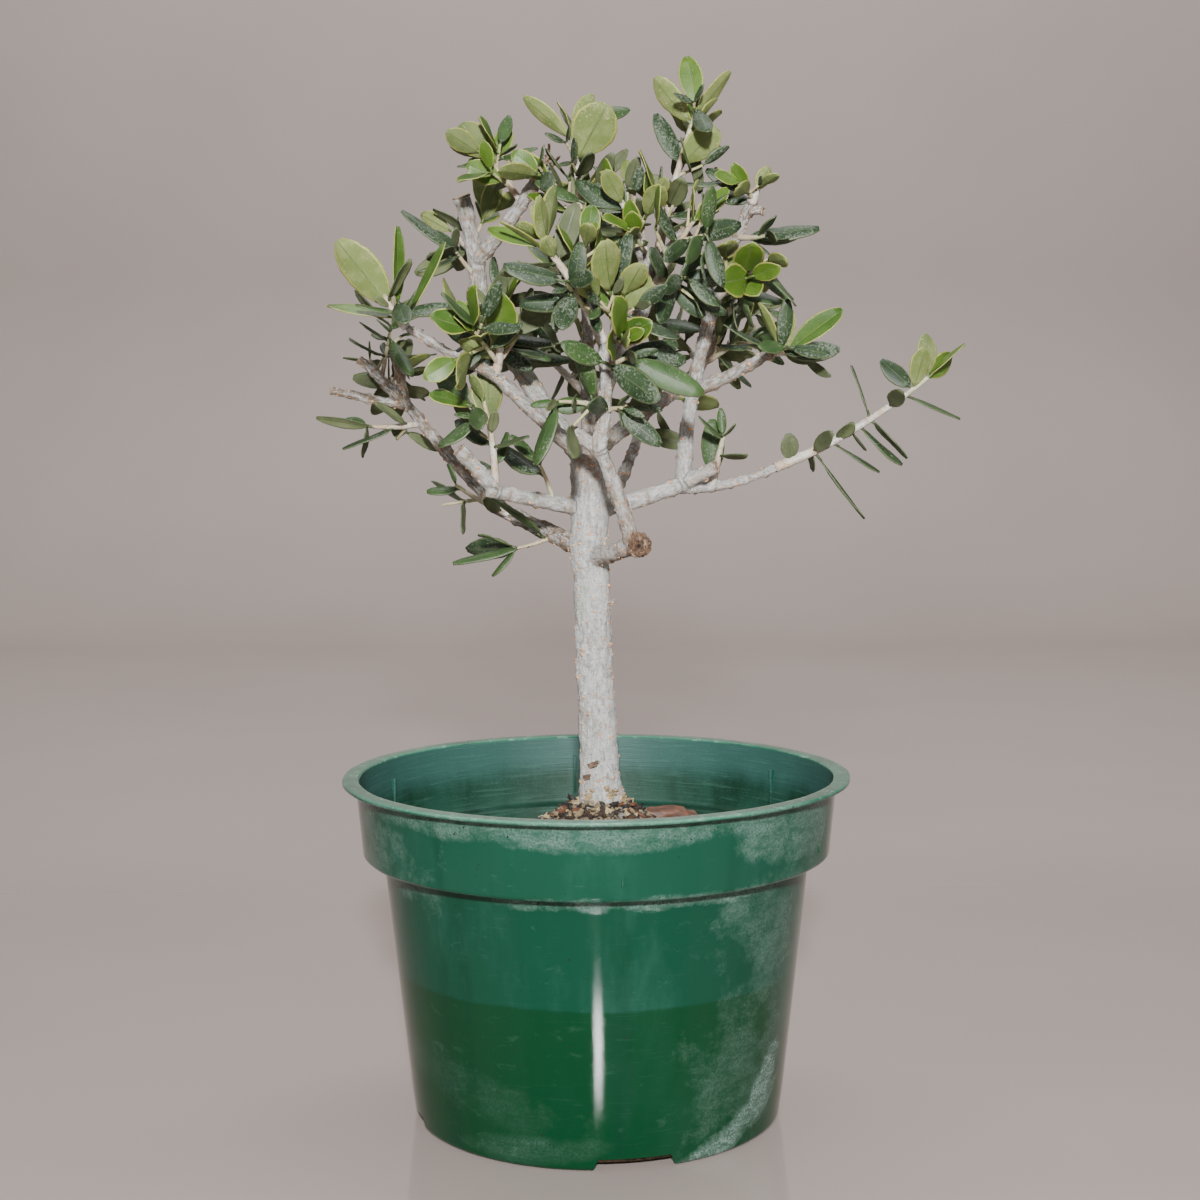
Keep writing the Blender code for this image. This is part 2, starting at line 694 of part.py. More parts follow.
def cone(name, path, foot, tip, home):
    """A straight three-sided twig."""
    start, end = place(path, 0), place(path, 1)
    bm = bmesh.new()
    length = float(np.linalg.norm(end - start))
    bmesh.ops.create_cone(
        bm, cap_ends=True, segments=3, radius1=foot * MM, radius2=tip * MM, depth=length * MM
    )
    mesh = bpy.data.meshes.new(name)
    bm.to_mesh(mesh)
    bm.free()
    item = add(name, mesh, (start + end) / 2, home)
    item.rotation_euler = Vector(end - start).to_track_quat("Z", "Y").to_euler()
    return item


def leaf_solid(leaf, sink, home):
    """A leaf: a flat six-sided spindle, thickest along its middle, its root sunk in the wood."""
    base, along, face, length = leaf[:4]
    rows = leaf_points(leaf, (0.36, 0.76), (-1, 1)) - base
    spine = leaf_points(leaf, (0.5, 1.0), (0,))[:, 0] - base
    spots = [spine[1], rows[1, 1], rows[0, 1], -along * sink, rows[0, 0], rows[1, 0]]
    thick = max(0.24, length * 0.013)
    bm = bmesh.new()
    bmesh.ops.create_uvsphere(bm, u_segments=6, v_segments=2, radius=1.0)
    for vert in bm.verts:
        if abs(vert.co.z) > 0.5:
            spot = spine[0] + face * math.copysign(thick, vert.co.z)
        else:
            spot = spots[round(math.degrees(math.atan2(vert.co.y, vert.co.x)) / 60) % 6]
        vert.co = [float(c) * MM for c in spot]
    if bm.calc_volume(signed=True) < 0:
        bmesh.ops.reverse_faces(bm, faces=bm.faces)
    mesh = bpy.data.meshes.new("leaf")
    bm.to_mesh(mesh)
    bm.free()
    return add("leaf", mesh, base, home)


def drop_scraps(item):
    """Keeps only the piece with the most vertices."""
    bm = bmesh.new()
    bm.from_mesh(item.data)
    seen = set()
    islands = []
    for vert in bm.verts:
        if vert in seen:
            continue
        island = []
        queue = [vert]
        seen.add(vert)
        while queue:
            here = queue.pop()
            island.append(here)
            for edge in here.link_edges:
                other = edge.other_vert(here)
                if other not in seen:
                    seen.add(other)
                    queue.append(other)
        islands.append(island)
    islands.sort(key=len, reverse=True)
    for island in islands[1:]:
        bmesh.ops.delete(bm, geom=island, context="VERTS")
    if len(islands) > 1:
        bm.to_mesh(item.data)
    bm.free()


def is_sound(item):
    """Whether every edge of the mesh, as triangles, has just two faces."""
    mesh = item.data
    mesh.calc_loop_triangles()
    points = np.array([vert.co for vert in mesh.vertices]) / MM
    faces = np.array([face.vertices for face in mesh.loop_triangles])
    for places in (7, 4):
        index = np.unique(np.round(points, places), axis=0, return_inverse=True)[1].reshape(-1)
        tris = index[faces]
        tris = tris[[len(set(tri)) == 3 for tri in tris.tolist()]]
        ends = np.sort(np.concatenate((tris[:, [0, 1]], tris[:, [1, 2]], tris[:, [2, 0]])), axis=1)
        if (np.unique(ends, axis=0, return_counts=True)[1] != 2).any():
            return False
    return True


def first_sound(name, make, tries):
    """The first of several slightly different makings that comes out as one closed surface."""
    for n, choice in enumerate(tries):
        item = make(name, *choice)
        if is_sound(item) or n == len(tries) - 1:
            break
        bpy.data.objects.remove(item, do_unlink=True)
    item.name = name
    item.data.name = name
    return item


def pot_profile():
    r, h = RIM_R, POT_HEIGHT
    under = h - FLANGE_THICK
    shelf = COLLAR_FOOT_Z
    inside = [
        (0, FLOOR), (BODY_FOOT_R - 2.4, FLOOR), (BODY_FOOT_R - WALL, 3.0),
        (BODY_TOP_R - WALL, shelf + 0.4), (BODY_TOP_R - WALL + 0.5, shelf + WALL),
        (COLLAR_FOOT_R - 2.4, shelf + WALL), (COLLAR_FOOT_R - WALL, shelf + 3),
        (COLLAR_TOP_R - WALL, h - 0.6), (COLLAR_TOP_R - 0.5, h),
    ]
    outside = [
        (r - 0.35, h), (r, h - 0.35), (r, under + 0.35), (r - 0.3, under), (COLLAR_TOP_R, under),
        (COLLAR_FOOT_R, shelf + 2.5), (COLLAR_FOOT_R - 0.6, shelf + 0.7), (COLLAR_FOOT_R - 2.2, shelf),
        (BODY_TOP_R, shelf), (BODY_FOOT_R, 1.9), (BODY_FOOT_R - 0.7, 0.5), (BODY_FOOT_R - 2.2, 0), (0, 0),
    ]
    return inside + outside


def around(turn, r, z):
    return (r * math.cos(turn), r * math.sin(turn), z)


def make_pot(home, cutters):
    pot = turned("pot", pot_profile(), POT_SIDES, home)
    ribs = new_collection("pot_ribs")
    tall = POT_HEIGHT - COLLAR_FOOT_Z - 12
    for k in range(RIBS):
        turn = math.radians(36 + 360 * k / RIBS)
        middle = around(turn, (COLLAR_FOOT_R + COLLAR_TOP_R) / 2 - WALL - 0.1, COLLAR_FOOT_Z + 5 + tall / 2)
        block("rib", (1.9, 1.2, tall), middle, turn, ribs)
    notches = new_collection("pot_notches")
    for k in range(4):
        turn = math.radians(-90 + NOTCH_TURN + 90 * k)
        sizes = (NOTCH_DEPTH * 2, NOTCH_WIDTH_FOOT + 2, NOTCH_HEIGHT * 2)
        share = NOTCH_WIDTH_TOP / sizes[1]
        block("notch", sizes, around(turn, BODY_FOOT_R, 0), turn, notches, share)
    boolean(pot, "UNION", ribs)
    boolean(pot, "DIFFERENCE", notches)
    for group in (ribs, notches):
        bpy.context.scene.collection.children.unlink(group)
        cutters.children.link(group)
    finish(pot, (0.015, 0.15, 0.075), 0.35)


def make_soil(home, cutters):
    inner = BODY_FOOT_R - WALL - GAP
    edge = inner + (BODY_TOP_R - BODY_FOOT_R) * (SOIL_EDGE_Z - 3) / (COLLAR_FOOT_Z - 2.6)
    low = FLOOR + GAP
    profile = [
        (0, MOUND_Z), (MOUND_R, MOUND_Z), (12, 98.8), (17, 96.2), (26, 92.5), (38, 87.5), (55, 82.5),
        (edge, SOIL_EDGE_Z), (inner, 3.6), (BODY_FOOT_R - 2.8, low), (0, low),
    ]
    soil = turned("soil", profile, 32, home)
    chips = new_collection("bark_chip")
    chip = block("chip", (20, 9, 9), (24.5, 9, 93.6), math.radians(8), chips, 0.55)
    chip.rotation_euler = (0.12, 0.06, math.radians(8))
    boolean(soil, "UNION", chips)
    bpy.context.scene.collection.children.unlink(chips)
    cutters.children.link(chips)
    finish(soil, (0.16, 0.11, 0.065), 0.95)


def trunk_radius(t):
    """The root flare, a slim middle and the swelling where the boughs leave."""
    flare = 1.0 * math.exp(-t / 0.15) + 1.9 * math.exp(-t / 0.025)
    swell = 0.5 * math.exp(-((t - 0.78) / 0.13) ** 2)
    return 6.2 - 0.65 * t + flare + swell


def bough_radius(foot, tip, t):
    """A bough swells a little at its foot."""
    return foot + (tip - foot) * t + 0.45 * math.exp(-t / 0.12)


def limb_rod(name, crown, home, more=0.0, solver="EXACT", last=0.97):
    """A limb with its cut stubs, or the same a little larger for cutting its neighbours clear."""
    path, foot, tip = crown.limbs[name]
    if name == "trunk":
        shares = (0, 0.015, 0.04, 0.08, 0.16, 0.35, 0.55, 0.7, 0.85, 1)
        item = rod(name, path, lambda t: trunk_radius(t) + more, shares, 4, home, not more)
    else:
        shares = (0, 0.12, 0.35, 0.65, last, 1) if last < 0.95 else (0, 0.12, 0.35, 0.65, 1)
        item = rod(name, path, lambda t: bough_radius(foot, tip, t) + more, shares, 2, home)
    stubs = []
    for limb, share, end, foot_r, tip_r in STUBS:
        if limb == name:
            line = path_of(place(path, share), end, (0, 0, 0.3))
            stubs.append(rod("stub", line, lambda t: foot_r + (tip_r - foot_r) * t + more, (0, 1), 1, home))
    fuse(item, "UNION", stubs, solver)
    return item


def near(one, other):
    """Whether two paths pass close enough for their solids to touch."""
    a = np.array([place(one, t / 12) for t in range(13)])
    b = np.array([place(other, t / 12) for t in range(13)])
    return np.linalg.norm(a[:, None] - b, axis=2).min() < 10


def make_cutters(crown, home):
    """Every limb a gap larger all round, as a mesh in the plant's own frame."""
    meshes = {}
    for name in crown.limbs:
        item = limb_rod(name, crown, home, GAP, "MANIFOLD")
        item.data.transform(Matrix.Translation(item.location))
        meshes[name] = item.data
        bpy.data.objects.remove(item, do_unlink=True)
    return meshes


def cut_clear(item, path, names, crown, larger, home):
    close = [other for other in names if near(path, crown.limbs[other][0])]
    fuse(item, "DIFFERENCE", [add("cutter", larger[other], (0, 0, 0), home) for other in close], "MANIFOLD")
    drop_scraps(item)


def make_limbs(crown, larger, home):
    done = []

    def limb(name, last, solver):
        item = limb_rod(name, crown, home, 0.0, solver, last)
        cut_clear(item, crown.limbs[name][0], done, crown, larger, home)
        return item

    tries = [(last, solver) for last in (0.97, 0.8, 0.9, 0.75) for solver in ("MANIFOLD", "EXACT")]
    for name in crown.limbs:
        item = first_sound(name, limb, tries)
        finish(item, (0.47, 0.43, 0.37), 0.85)
        done.append(name)


def make_masses(crown, larger, home):
    grown = {}

    def mass(name, sink, solver):
        """A mass's stem, twigs and leaves as one solid, cut clear of the limbs beside it."""
        foot, stem = MASSES[name][4], crown.stems[name]
        item = rod(name, stem, lambda t: foot * (1 - 0.55 * t), (0, 0.2, 0.4, 0.6, 0.8, 1), 0, home)
        pieces = [cone("twig", path, a, b, home) for path, a, b in grown[name]["twigs"]]
        pieces += [leaf_solid(leaf, sink, home) for leaf in grown[name]["leaves"]]
        fuse(item, "UNION", pieces, solver)
        cut_clear(item, stem, crown.limbs, crown, larger, home)
        return item

    tries = [(sink, solver) for sink in (0.2, 0.3, 0.1, 0.4, 0.5) for solver in ("MANIFOLD", "EXACT")]
    for name in MASSES:
        grown[name] = crown.grow(name)
        item = first_sound(name, mass, tries)
        finish(item, (0.07, 0.13, 0.035), 0.5)


def main():
    clear_scene()
    home = new_collection("potted_olive_tree")
    cutters = new_collection("cutters")
    crown = Crown()
    larger = make_cutters(crown, home)
    make_limbs(crown, larger, home)
    make_masses(crown, larger, home)
    for mesh in larger.values():
        bpy.data.meshes.remove(mesh)
    make_pot(home, cutters)
    make_soil(home, cutters)
    plant = bpy.data.objects.new("plant", None)
    home.objects.link(plant)
    for item in home.objects:
        if item != plant:
            item.parent = plant


main()
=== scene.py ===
"""The looks of a young olive tree in a nursery pot: bark, leaves, soil and worn green plastic.

Sizes in the tables are millimetres, turned into metres where a mesh is made.
The leaves grow by the same seeded rule as the solids, then carry on to finer shoots.
"""

import math
import random
from collections import namedtuple
from contextlib import contextmanager

import bpy
import numpy as np
from mathutils import Matrix, Vector
from mathutils.bvhtree import BVHTree


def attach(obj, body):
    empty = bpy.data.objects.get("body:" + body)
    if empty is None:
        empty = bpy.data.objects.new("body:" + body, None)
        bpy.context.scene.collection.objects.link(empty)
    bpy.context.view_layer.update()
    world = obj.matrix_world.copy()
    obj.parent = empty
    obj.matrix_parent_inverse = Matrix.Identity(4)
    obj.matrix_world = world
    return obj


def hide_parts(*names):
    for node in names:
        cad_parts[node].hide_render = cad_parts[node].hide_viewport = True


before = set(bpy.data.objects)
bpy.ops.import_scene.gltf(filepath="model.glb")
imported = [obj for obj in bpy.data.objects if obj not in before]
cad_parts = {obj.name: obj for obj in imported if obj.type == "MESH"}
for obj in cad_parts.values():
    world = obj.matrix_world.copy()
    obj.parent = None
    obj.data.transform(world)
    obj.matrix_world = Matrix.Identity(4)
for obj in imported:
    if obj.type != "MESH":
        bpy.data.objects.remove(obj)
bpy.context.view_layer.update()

MM = 0.001

Mass = namedtuple(
    "Mass", "bough share tip bow stem_r twigs twig_length old_length young_length young_share reach seed"
)
Leaf = namedtuple("Leaf", "base along face length width young bend")

# name: (parent, share along the parent, tip, bow of the middle, radius at the foot, radius at the tip)
LIMBS = {
    "trunk": (None, 0, (-1.9, 0, 215), (-1.2, 0.5, 2), 6.3, 5.5),
    "knuckle_bough": ("trunk", 0.70, (13, -24, 187), (-1, 1, -1.5), 3.5, 3.3),
    "front_lower_bough": ("knuckle_bough", 0.93, (1.6, -30, 217), (2, -1, 0), 2.75, 2.55),
    "front_upper_bough": ("front_lower_bough", 1, (3.1, -30, 249), (3, -1, -1), 2.55, 2.1),
    "right_bough": ("trunk", 0.83, (30, 8, 205), (0, 0, -1.5), 3.3, 2.8),
    "right_long_bough": ("right_bough", 0.9, (60, 19, 209.5), (0, 1, -5), 2.3, 1.8),
    "right_upright_bough": ("right_bough", 0.97, (33, 13, 237), (-1.5, 0, 0), 2.9, 2.6),
    "right_upper_bough": ("right_upright_bough", 1, (50.7, 0, 294), (-3, 3, 3), 2.5, 2.1),
    "lit_right_bough": ("right_upright_bough", 0.93, (57, -6, 247), (0, 0, -2), 2.8, 2.0),
    "shaded_right_bough": ("trunk", 0.98, (32, 36, 237), (-1, 3, 3), 3.0, 2.6),
    "leader_bough": ("trunk", 0.99, (-2.1, 2, 276), (0.5, 3, 0), 2.9, 2.0),
    "centre_bough": ("leader_bough", 0.25, (19.6, -8, 272), (4, 2, -3), 2.9, 2.8),
    "upper_left_bough": ("trunk", 0.97, (-31, -20, 240), (1, -4, -1), 2.9, 2.3),
    "outer_left_bough": ("upper_left_bough", 0.97, (-57, -26, 254), (0, -1, -1), 2.0, 1.5),
    "tall_stub_bough": ("trunk", 0.96, (-37.5, 24, 265), (-2, 6, -1), 3.6, 3.4),
    "stub_top_bough": ("tall_stub_bough", 1, (-42.7, 20, 298.5), (2, 1, 0), 3.3, 3.1),
    "forked_bough": ("stub_top_bough", 0.38, (-13.8, 6, 308.4), (1, -2, -3), 2.7, 2.5),
    "left_low_bough": ("trunk", 0.84, (-33.2, -16, 204), (0, 1, -1), 3.0, 2.7),
    "back_left_bough": ("trunk", 0.72, (-32, 38, 195.5), (3, -1, -2), 3.7, 2.9),
    "back_left_end": ("back_left_bough", 1, (-67, 60, 233.5), (0, 2, -3), 2.8, 2.2),
    "back_bough": ("trunk", 0.90, (8, 42, 252), (-2, 9, -8), 3.1, 2.4),
    "back_low_bough": ("trunk", 0.78, (14, 50, 216), (0, 3, -6), 2.8, 2.2),
}
# cut side stubs: (limb, share along it, tip, radius at the foot, radius at the cut)
STUBS = (
    ("trunk", 0.555, (7.2, -2.0, 167.5), 1.1, 0.8),
    ("front_lower_bough", 0.97, (-6, -28.5, 221.5), 2.5, 2.3),
    ("right_bough", 0.96, (39.5, 4, 210), 2.5, 2.3),
    ("centre_bough", 0.97, (12.4, -12, 283.5), 2.5, 2.2),
    ("centre_bough", 0.97, (29.2, -12, 284), 2.4, 2.3),
    ("left_low_bough", 0.92, (-41.8, -20, 216.4), 2.5, 2.3),
    ("upper_left_bough", 0.94, (-34.3, -21.5, 241.8), 2.1, 1.9),
    ("lit_right_bough", 0.9, (56, -10.3, 245.5), 1.6, 1.4),
    ("right_upper_bough", 0.95, (54, -2, 291), 1.6, 1.5),
    ("back_left_end", 0.93, (-91.9, 62, 236.2), 1.8, 1.5),
    ("back_left_end", 0.9, (-81.7, 61, 246.9), 1.8, 1.7),
    ("back_left_end", 0.97, (-69.7, 60, 249.6), 1.9, 1.7),
)
MASSES = {
    "front_tip_leaves":
        Mass("front_upper_bough", 1, (-14, -36, 277), (1, -1, 4), 1.9, 3, 17, 18, 16, 0.5, 26, 57),
    "front_left_leaves":
        Mass("front_upper_bough", 0.40, (-11, -39, 231), (0, 0, 1), 1.0, 1, 9, 20, 15, 0.1, 24, 29),
    "front_right_leaves":
        Mass("front_upper_bough", 0.75, (10.9, -38, 244.3), (0, 0, 0.5), 1.1, 1, 9, 21, 15, 0.1, 24, 35),
    "left_tip_leaves":
        Mass("outer_left_bough", 1, (-63.6, -28, 264), (0, 0, -2), 1.4, 2, 10, 17, 24, 0.7, 27, 90),
    "centre_left_leaves":
        Mass("upper_left_bough", 0.98, (-29, -25, 256), (2, 0, -1), 1.6, 3, 15, 18, 18, 0.5, 26, 10),
    "low_left_leaves":
        Mass("left_low_bough", 0.93, (-34, -20, 231.5), (2, 0, 0), 1.4, 3, 13, 19, 16, 0.45, 25, 30),
    "inner_left_leaves":
        Mass("tall_stub_bough", 0.66, (-44, 4, 262), (0, -2, 0), 1.4, 4, 15, 19, 15, 0.3, 25, 29),
    "upper_left_leaves":
        Mass("forked_bough", 0.62, (-35.5, 8, 311), (0, 0, 2), 1.2, 3, 12, 15, 14, 0.6, 24, 48),
    "stub_side_leaves":
        Mass("stub_top_bough", 0.45, (-47, 36, 289), (0, 0, -1), 1.4, 3, 15, 20, 15, 0.3, 24, 85),
    "leader_leaves":
        Mass("leader_bough", 1, (-6.5, -4, 317), (1, 0, 0), 1.8, 6, 17, 17, 17, 0.5, 26, 10),
    "inner_centre_leaves":
        Mass("centre_bough", 0.97, (6.5, -16, 297), (2, -1, 0), 1.6, 4, 15, 17, 16, 0.5, 24, 29),
    "top_right_leaves":
        Mass("centre_bough", 1, (33, -8, 322), (-2, 0, 0), 1.6, 2, 14, 17, 18, 0.65, 27, 75),
    "inner_right_leaves":
        Mass("centre_bough", 0.8, (31, -22, 286), (0, -2, 1), 1.5, 4, 14, 17, 16, 0.4, 24, 11),
    "right_upper_leaves":
        Mass("right_upper_bough", 1, (52.5, -3, 298.5), (0, 0, 0), 1.8, 3, 13, 19, 11, 0.5, 25, 79),
    "right_middle_leaves":
        Mass("right_upper_bough", 0.45, (55, -9, 275), (0, 0, 2), 1.5, 4, 14, 18, 17, 0.4, 24, 69),
    "right_tip_leaves":
        Mass("lit_right_bough", 1, (61.2, -8, 246.2), (0, 0, -0.5), 1.6, 2, 10, 16, 17, 0.7, 26, 46),
    "right_low_leaves":
        Mass("right_long_bough", 0.35, (42, 6, 220), (0, 0, 0), 1.5, 1, 7, 19, 14, 0.1, 22, 38),
    "long_limb_leaves":
        Mass("right_long_bough", 1, (112, 30, 239), (0, 1, -5.5), 1.7, 0, 9, 18, 16, 0.4, 27, 44),
    "back_left_leaves":
        Mass("back_left_end", 1, (-79, 66, 247), (0, 0, -2), 1.8, 5, 17, 18, 14, 0.25, 30, 50),
    "low_back_leaves":
        Mass("back_left_bough", 0.85, (-47, 34, 204), (0, 0, -2), 1.3, 2, 12, 19, 14, 0.1, 26, 19),
    "shaded_right_leaves":
        Mass("shaded_right_bough", 1, (50, 54, 266), (0, 0, -1), 2.2, 4, 16, 18, 16, 0.4, 30, 71),
    "back_top_leaves":
        Mass("back_bough", 1, (4, 50, 299), (0, 2, 0), 2.1, 4, 17, 18, 16, 0.4, 32, 47),
    "back_low_leaves":
        Mass("back_low_bough", 1, (20, 70, 240), (0, 2, -2), 1.9, 3, 16, 18, 16, 0.4, 32, 39),
    "back_middle_leaves":
        Mass("back_bough", 0.6, (-24, 58, 256), (0, 2, -1), 1.7, 3, 16, 18, 16, 0.4, 28, 21),
    "left_fan_leaves":
        Mass("back_left_end", 0.8, (-80, 62, 224), (0, 0, -2), 1.3, 2, 12, 19, 14, 0.15, 26, 76),
    "low_spray_leaves":
        Mass("back_left_bough", 0.42, (-26, 14, 183.5), (0, 0, -1), 0.9, 0, 8, 26, 14, 0.0, 34, 44),
    "fork_leaves":
        Mass("left_low_bough", 0.35, (-17, -13, 212), (0, 0, 1), 0.9, 0, 8, 21, 14, 0.0, 26, 80),
    "stub_left_leaves":
        Mass("stub_top_bough", 0.22, (-45, 16, 281), (0, 0, -1), 1.0, 1, 9, 21, 14, 0.1, 28, 81),
    "right_outer_leaves":
        Mass("right_upper_bough", 0.8, (55, -6, 283), (0, 0, -1), 1.1, 1, 9, 22, 15, 0.2, 28, 41),
    "front_side_leaves":
        Mass("front_upper_bough", 0.85, (9, -40, 262), (0, -1, 0), 1.2, 1, 10, 18, 19, 0.8, 24, 22),
    "front_low_leaves":
        Mass("front_upper_bough", 0.36, (9, -38, 229), (0, 0, 0.5), 1.0, 0, 9, 19, 15, 0.0, 22, 47),
}
# leaves that stand out: share along the stem, length, width, lean to the right from upright,
# lean to the front, turn of the upper side from facing the front, young
LEADING = {
    "front_tip_leaves": (
        (0.15, 30, 8, 20, 15, 20, False),
        (0.8, 19, 7.5, 15, -5, 160, False),
        (1, 19, 6, -70, -5, -40, True),
        (0.85, 10, 5.5, -30, 45, -170, True),
        (0.9, 20, 5, -55, 25, -110, True),
    ),
    "front_left_leaves": ((0.3, 12, 6, -90, 5, -20, False),),
    "front_right_leaves": ((0.9, 26, 8.5, 115, 5, 10, False),),
    "left_tip_leaves": (
        (0.55, 28, 12.5, -35, 5, -170, True),
        (0.35, 23, 6.5, -75, -5, -50, True),
        (0.5, 28, 6, 5, -10, -60, True),
        (0.1, 29, 6, 25, 0, 60, True),
    ),
    "centre_left_leaves": (
        (0.45, 21, 11, 5, 35, 0, True),
        (0.75, 21, 7.5, 60, -10, 160, False),
        (0.3, 15, 6.5, -60, 25, -160, True),
    ),
    "low_left_leaves": ((0.75, 17, 11, -5, -15, 160, True),),
    "upper_left_leaves": (
        (0.8, 15, 11, -35, 10, -170, True),
        (0.7, 14, 7, 20, -10, 20, True),
    ),
    "leader_leaves": (
        (0.75, 21, 15, 30, 15, 170, True),
        (0.9, 21, 6.5, -45, 5, -140, True),
        (1, 13, 5.5, 30, -10, 160, True),
    ),
    "inner_centre_leaves": (
        (0.65, 22, 7, -55, -10, -20, False),
        (0.8, 14, 6.5, -30, 30, 180, True),
    ),
    "top_right_leaves": (
        (0.65, 17, 10, 45, 15, 160, True),
        (0.4, 13, 9, -35, -25, 180, False),
        (0.9, 19, 8, -40, 5, -160, True),
        (1, 18, 8, -10, -10, 10, True),
        (0.95, 18, 7, 35, 5, 130, True),
        (0.65, 19, 6.5, -20, -10, -20, False),
    ),
    "right_upper_leaves": (
        (0.65, 9, 5.5, 25, 0, 160, True),
        (0.1, 12, 5.5, -75, -15, -30, False),
        (0.35, 16, 4.5, -50, -5, -110, True),
    ),
    "right_middle_leaves": ((0.2, 13, 11, 30, 20, 180, True),),
    "right_tip_leaves": (
        (0.9, 23, 8.5, 50, 0, 40, True),
        (0.55, 19, 7.5, 85, 10, 20, False),
        (0.7, 18, 5.5, -25, 0, -120, True),
        (0.3, 20, 5.5, -60, 10, -70, False),
        (0.9, 15, 5, 5, 10, 180, True),
    ),
    "right_low_leaves": ((0.15, 20, 8, 0, 5, 0, False),),
    "long_limb_leaves": (
        (0.9, 15, 7.5, 15, 10, 170, True),
        (0.9, 15, 7, -45, -10, -10, False),
        (1, 15, 7, 0, -10, -180, True),
        (0.1, 10, 6.5, -10, 15, 170, False),
        (0.4, 10, 6, 35, 40, 150, False),
        (0.25, 29, 5.5, 140, 0, 80, False),
        (1, 17, 5, 45, 0, 80, True),
        (0.55, 20, 5, 130, 0, 70, False),
        (0.85, 21, 5, 110, -5, 70, False),
    ),
    "low_back_leaves": ((0.9, 12, 5, -90, 0, -60, False),),
    "left_fan_leaves": (
        (0.85, 21, 5, -80, 0, -130, False),
        (0.45, 21, 4.5, -110, 5, -60, False),
    ),
    "low_spray_leaves": ((0.7, 26, 4.5, -100, 0, -60, False),),
    "stub_left_leaves": ((0.9, 23, 5.5, -50, 5, -40, False),),
    "right_outer_leaves": ((0.5, 22, 6.5, 80, 5, 40, False),),
    "front_side_leaves": (
        (0.8, 14, 12, 40, 10, 180, True),
        (0.55, 16, 7, -15, 5, -10, True),
    ),
    "front_low_leaves": ((0.65, 18, 6.5, 130, 0, 10, False),),
}
# how each mass carries on to finer twigs
FINE_SEEDS = {
    "front_tip_leaves": 35, "front_right_leaves": 23, "left_tip_leaves": 24, "centre_left_leaves": 29,
    "low_left_leaves": 21, "inner_left_leaves": 11, "upper_left_leaves": 17, "leader_leaves": 27,
    "inner_centre_leaves": 19, "top_right_leaves": 31, "inner_right_leaves": 8, "right_upper_leaves": 8,
    "right_middle_leaves": 16, "right_tip_leaves": 9, "back_left_leaves": 21, "shaded_right_leaves": 7,
    "back_top_leaves": 19, "back_middle_leaves": 18, "stub_left_leaves": 16, "right_outer_leaves": 24,
    "front_side_leaves": 2, "front_low_leaves": 22,
}
TRUNK_FOOT = (2.0, 0.0, 100.3)
STALK = 0.09  # the share of a leaf's length that is its stalk
STEM_TAPER = 0.45  # a stem's radius at its tip, as a share of the one at its foot
PAIR_STEPS = (7.5, 6.0)  # from one pair of leaves to the next, on a stem and on its twigs
TWIG_FOOT_R = 0.55
TWIG_TIP_R = 0.45
FINE_STEP = 1.8  # from one try for a finer twig or leaf to the next
FINE_TWIG = (0.5, 0.4)  # a finer twig's radius at its foot and at its tip
NEIGHBOUR = 30  # a leaf whose middle is further off than this can't touch
ACROSS = (-1, -0.5, 0, 0.5, 1)  # the test points in a row across a leaf
OUTLINE_ROWS = (0.3, 0.5, 0.7, 0.85, 1.0)  # rows of points kept of each leaf
TEST_ROWS = (0.3, 0.45, 0.6, 0.75, 0.9, 1.0)  # rows of points tested on a new leaf


def unit(v):
    return v / math.sqrt(float(v @ v))


def path_of(start, tip, bow=(0, 0, 0)):
    """A bowed line from the start to the tip, as three points."""
    start, tip = np.array(start, float), np.array(tip, float)
    return start, (start + tip) / 2 + np.array(bow, float), tip


def place(path, t):
    a, c, b = path
    return a * (1 - t) ** 2 + c * 2 * t * (1 - t) + b * t * t


def slope(path, t):
    a, c, b = path
    return unit((c - a) * (1 - t) + (b - c) * t)


def rolled(side, axis, roll):
    """A direction square to the axis, turned about it by the roll."""
    return side * math.cos(roll) + np.cross(side, axis) * math.sin(roll)


def frame_of(axis, roll):
    """A level direction square to the axis, turned about it by the roll."""
    up = (0.0, 0.0, 1.0) if abs(axis[2]) < 0.95 else (0.0, 1.0, 0.0)
    return rolled(unit(np.cross(axis, up)), axis, roll)


def leaning(axis, radial, lean, lift):
    """The axis leaned over to the radial direction, and lifted a little or let droop."""
    return unit(axis * math.cos(lean) + radial * math.sin(lean) + np.array((0, 0, lift)))


def half_width(s, young):
    """Half the width of a leaf, as a share of its greatest half width, at share s of its length."""
    s = (s - STALK) / (1 - STALK)
    if s <= 0:
        return 0.16
    belly, fullness = (1.12, 0.62) if young else (0.95, 0.55)
    return max(0.16 * (1 - s), math.sin(math.pi * s ** belly) ** fullness)


def limb_paths():
    """Each limb as (path, radius at the foot, radius at the tip)."""
    paths = {}
    for name, (parent, share, tip, bow, foot_r, tip_r) in LIMBS.items():
        start = place(paths[parent][0], share) if parent else TRUNK_FOOT
        paths[name] = (path_of(start, tip, bow), foot_r, tip_r)
    return paths


def stub_paths(limbs):
    """Each cut stub as (path, radius at the foot, radius at the cut)."""
    stubs = []
    for limb, share, tip, foot_r, cut_r in STUBS:
        stubs.append((path_of(place(limbs[limb][0], share), tip, (0, 0, 0.3)), foot_r, cut_r))
    return stubs


def spine_of(leaf, s):
    """The point on a leaf's middle line at share s of its length."""
    return leaf.base + leaf.along * (s * leaf.length) - leaf.face * (leaf.bend * leaf.length * s * s)


def leaf_points(leaf, shares):
    """Points on a leaf, in rows from its root to its tip."""
    side = np.cross(leaf.face, leaf.along)
    points = []
    for s in shares:
        spine = spine_of(leaf, s)
        half = half_width(s, leaf.young) * leaf.width / 2
        points += [spine + side * (half * a) for a in ACROSS]
    return np.array(points)


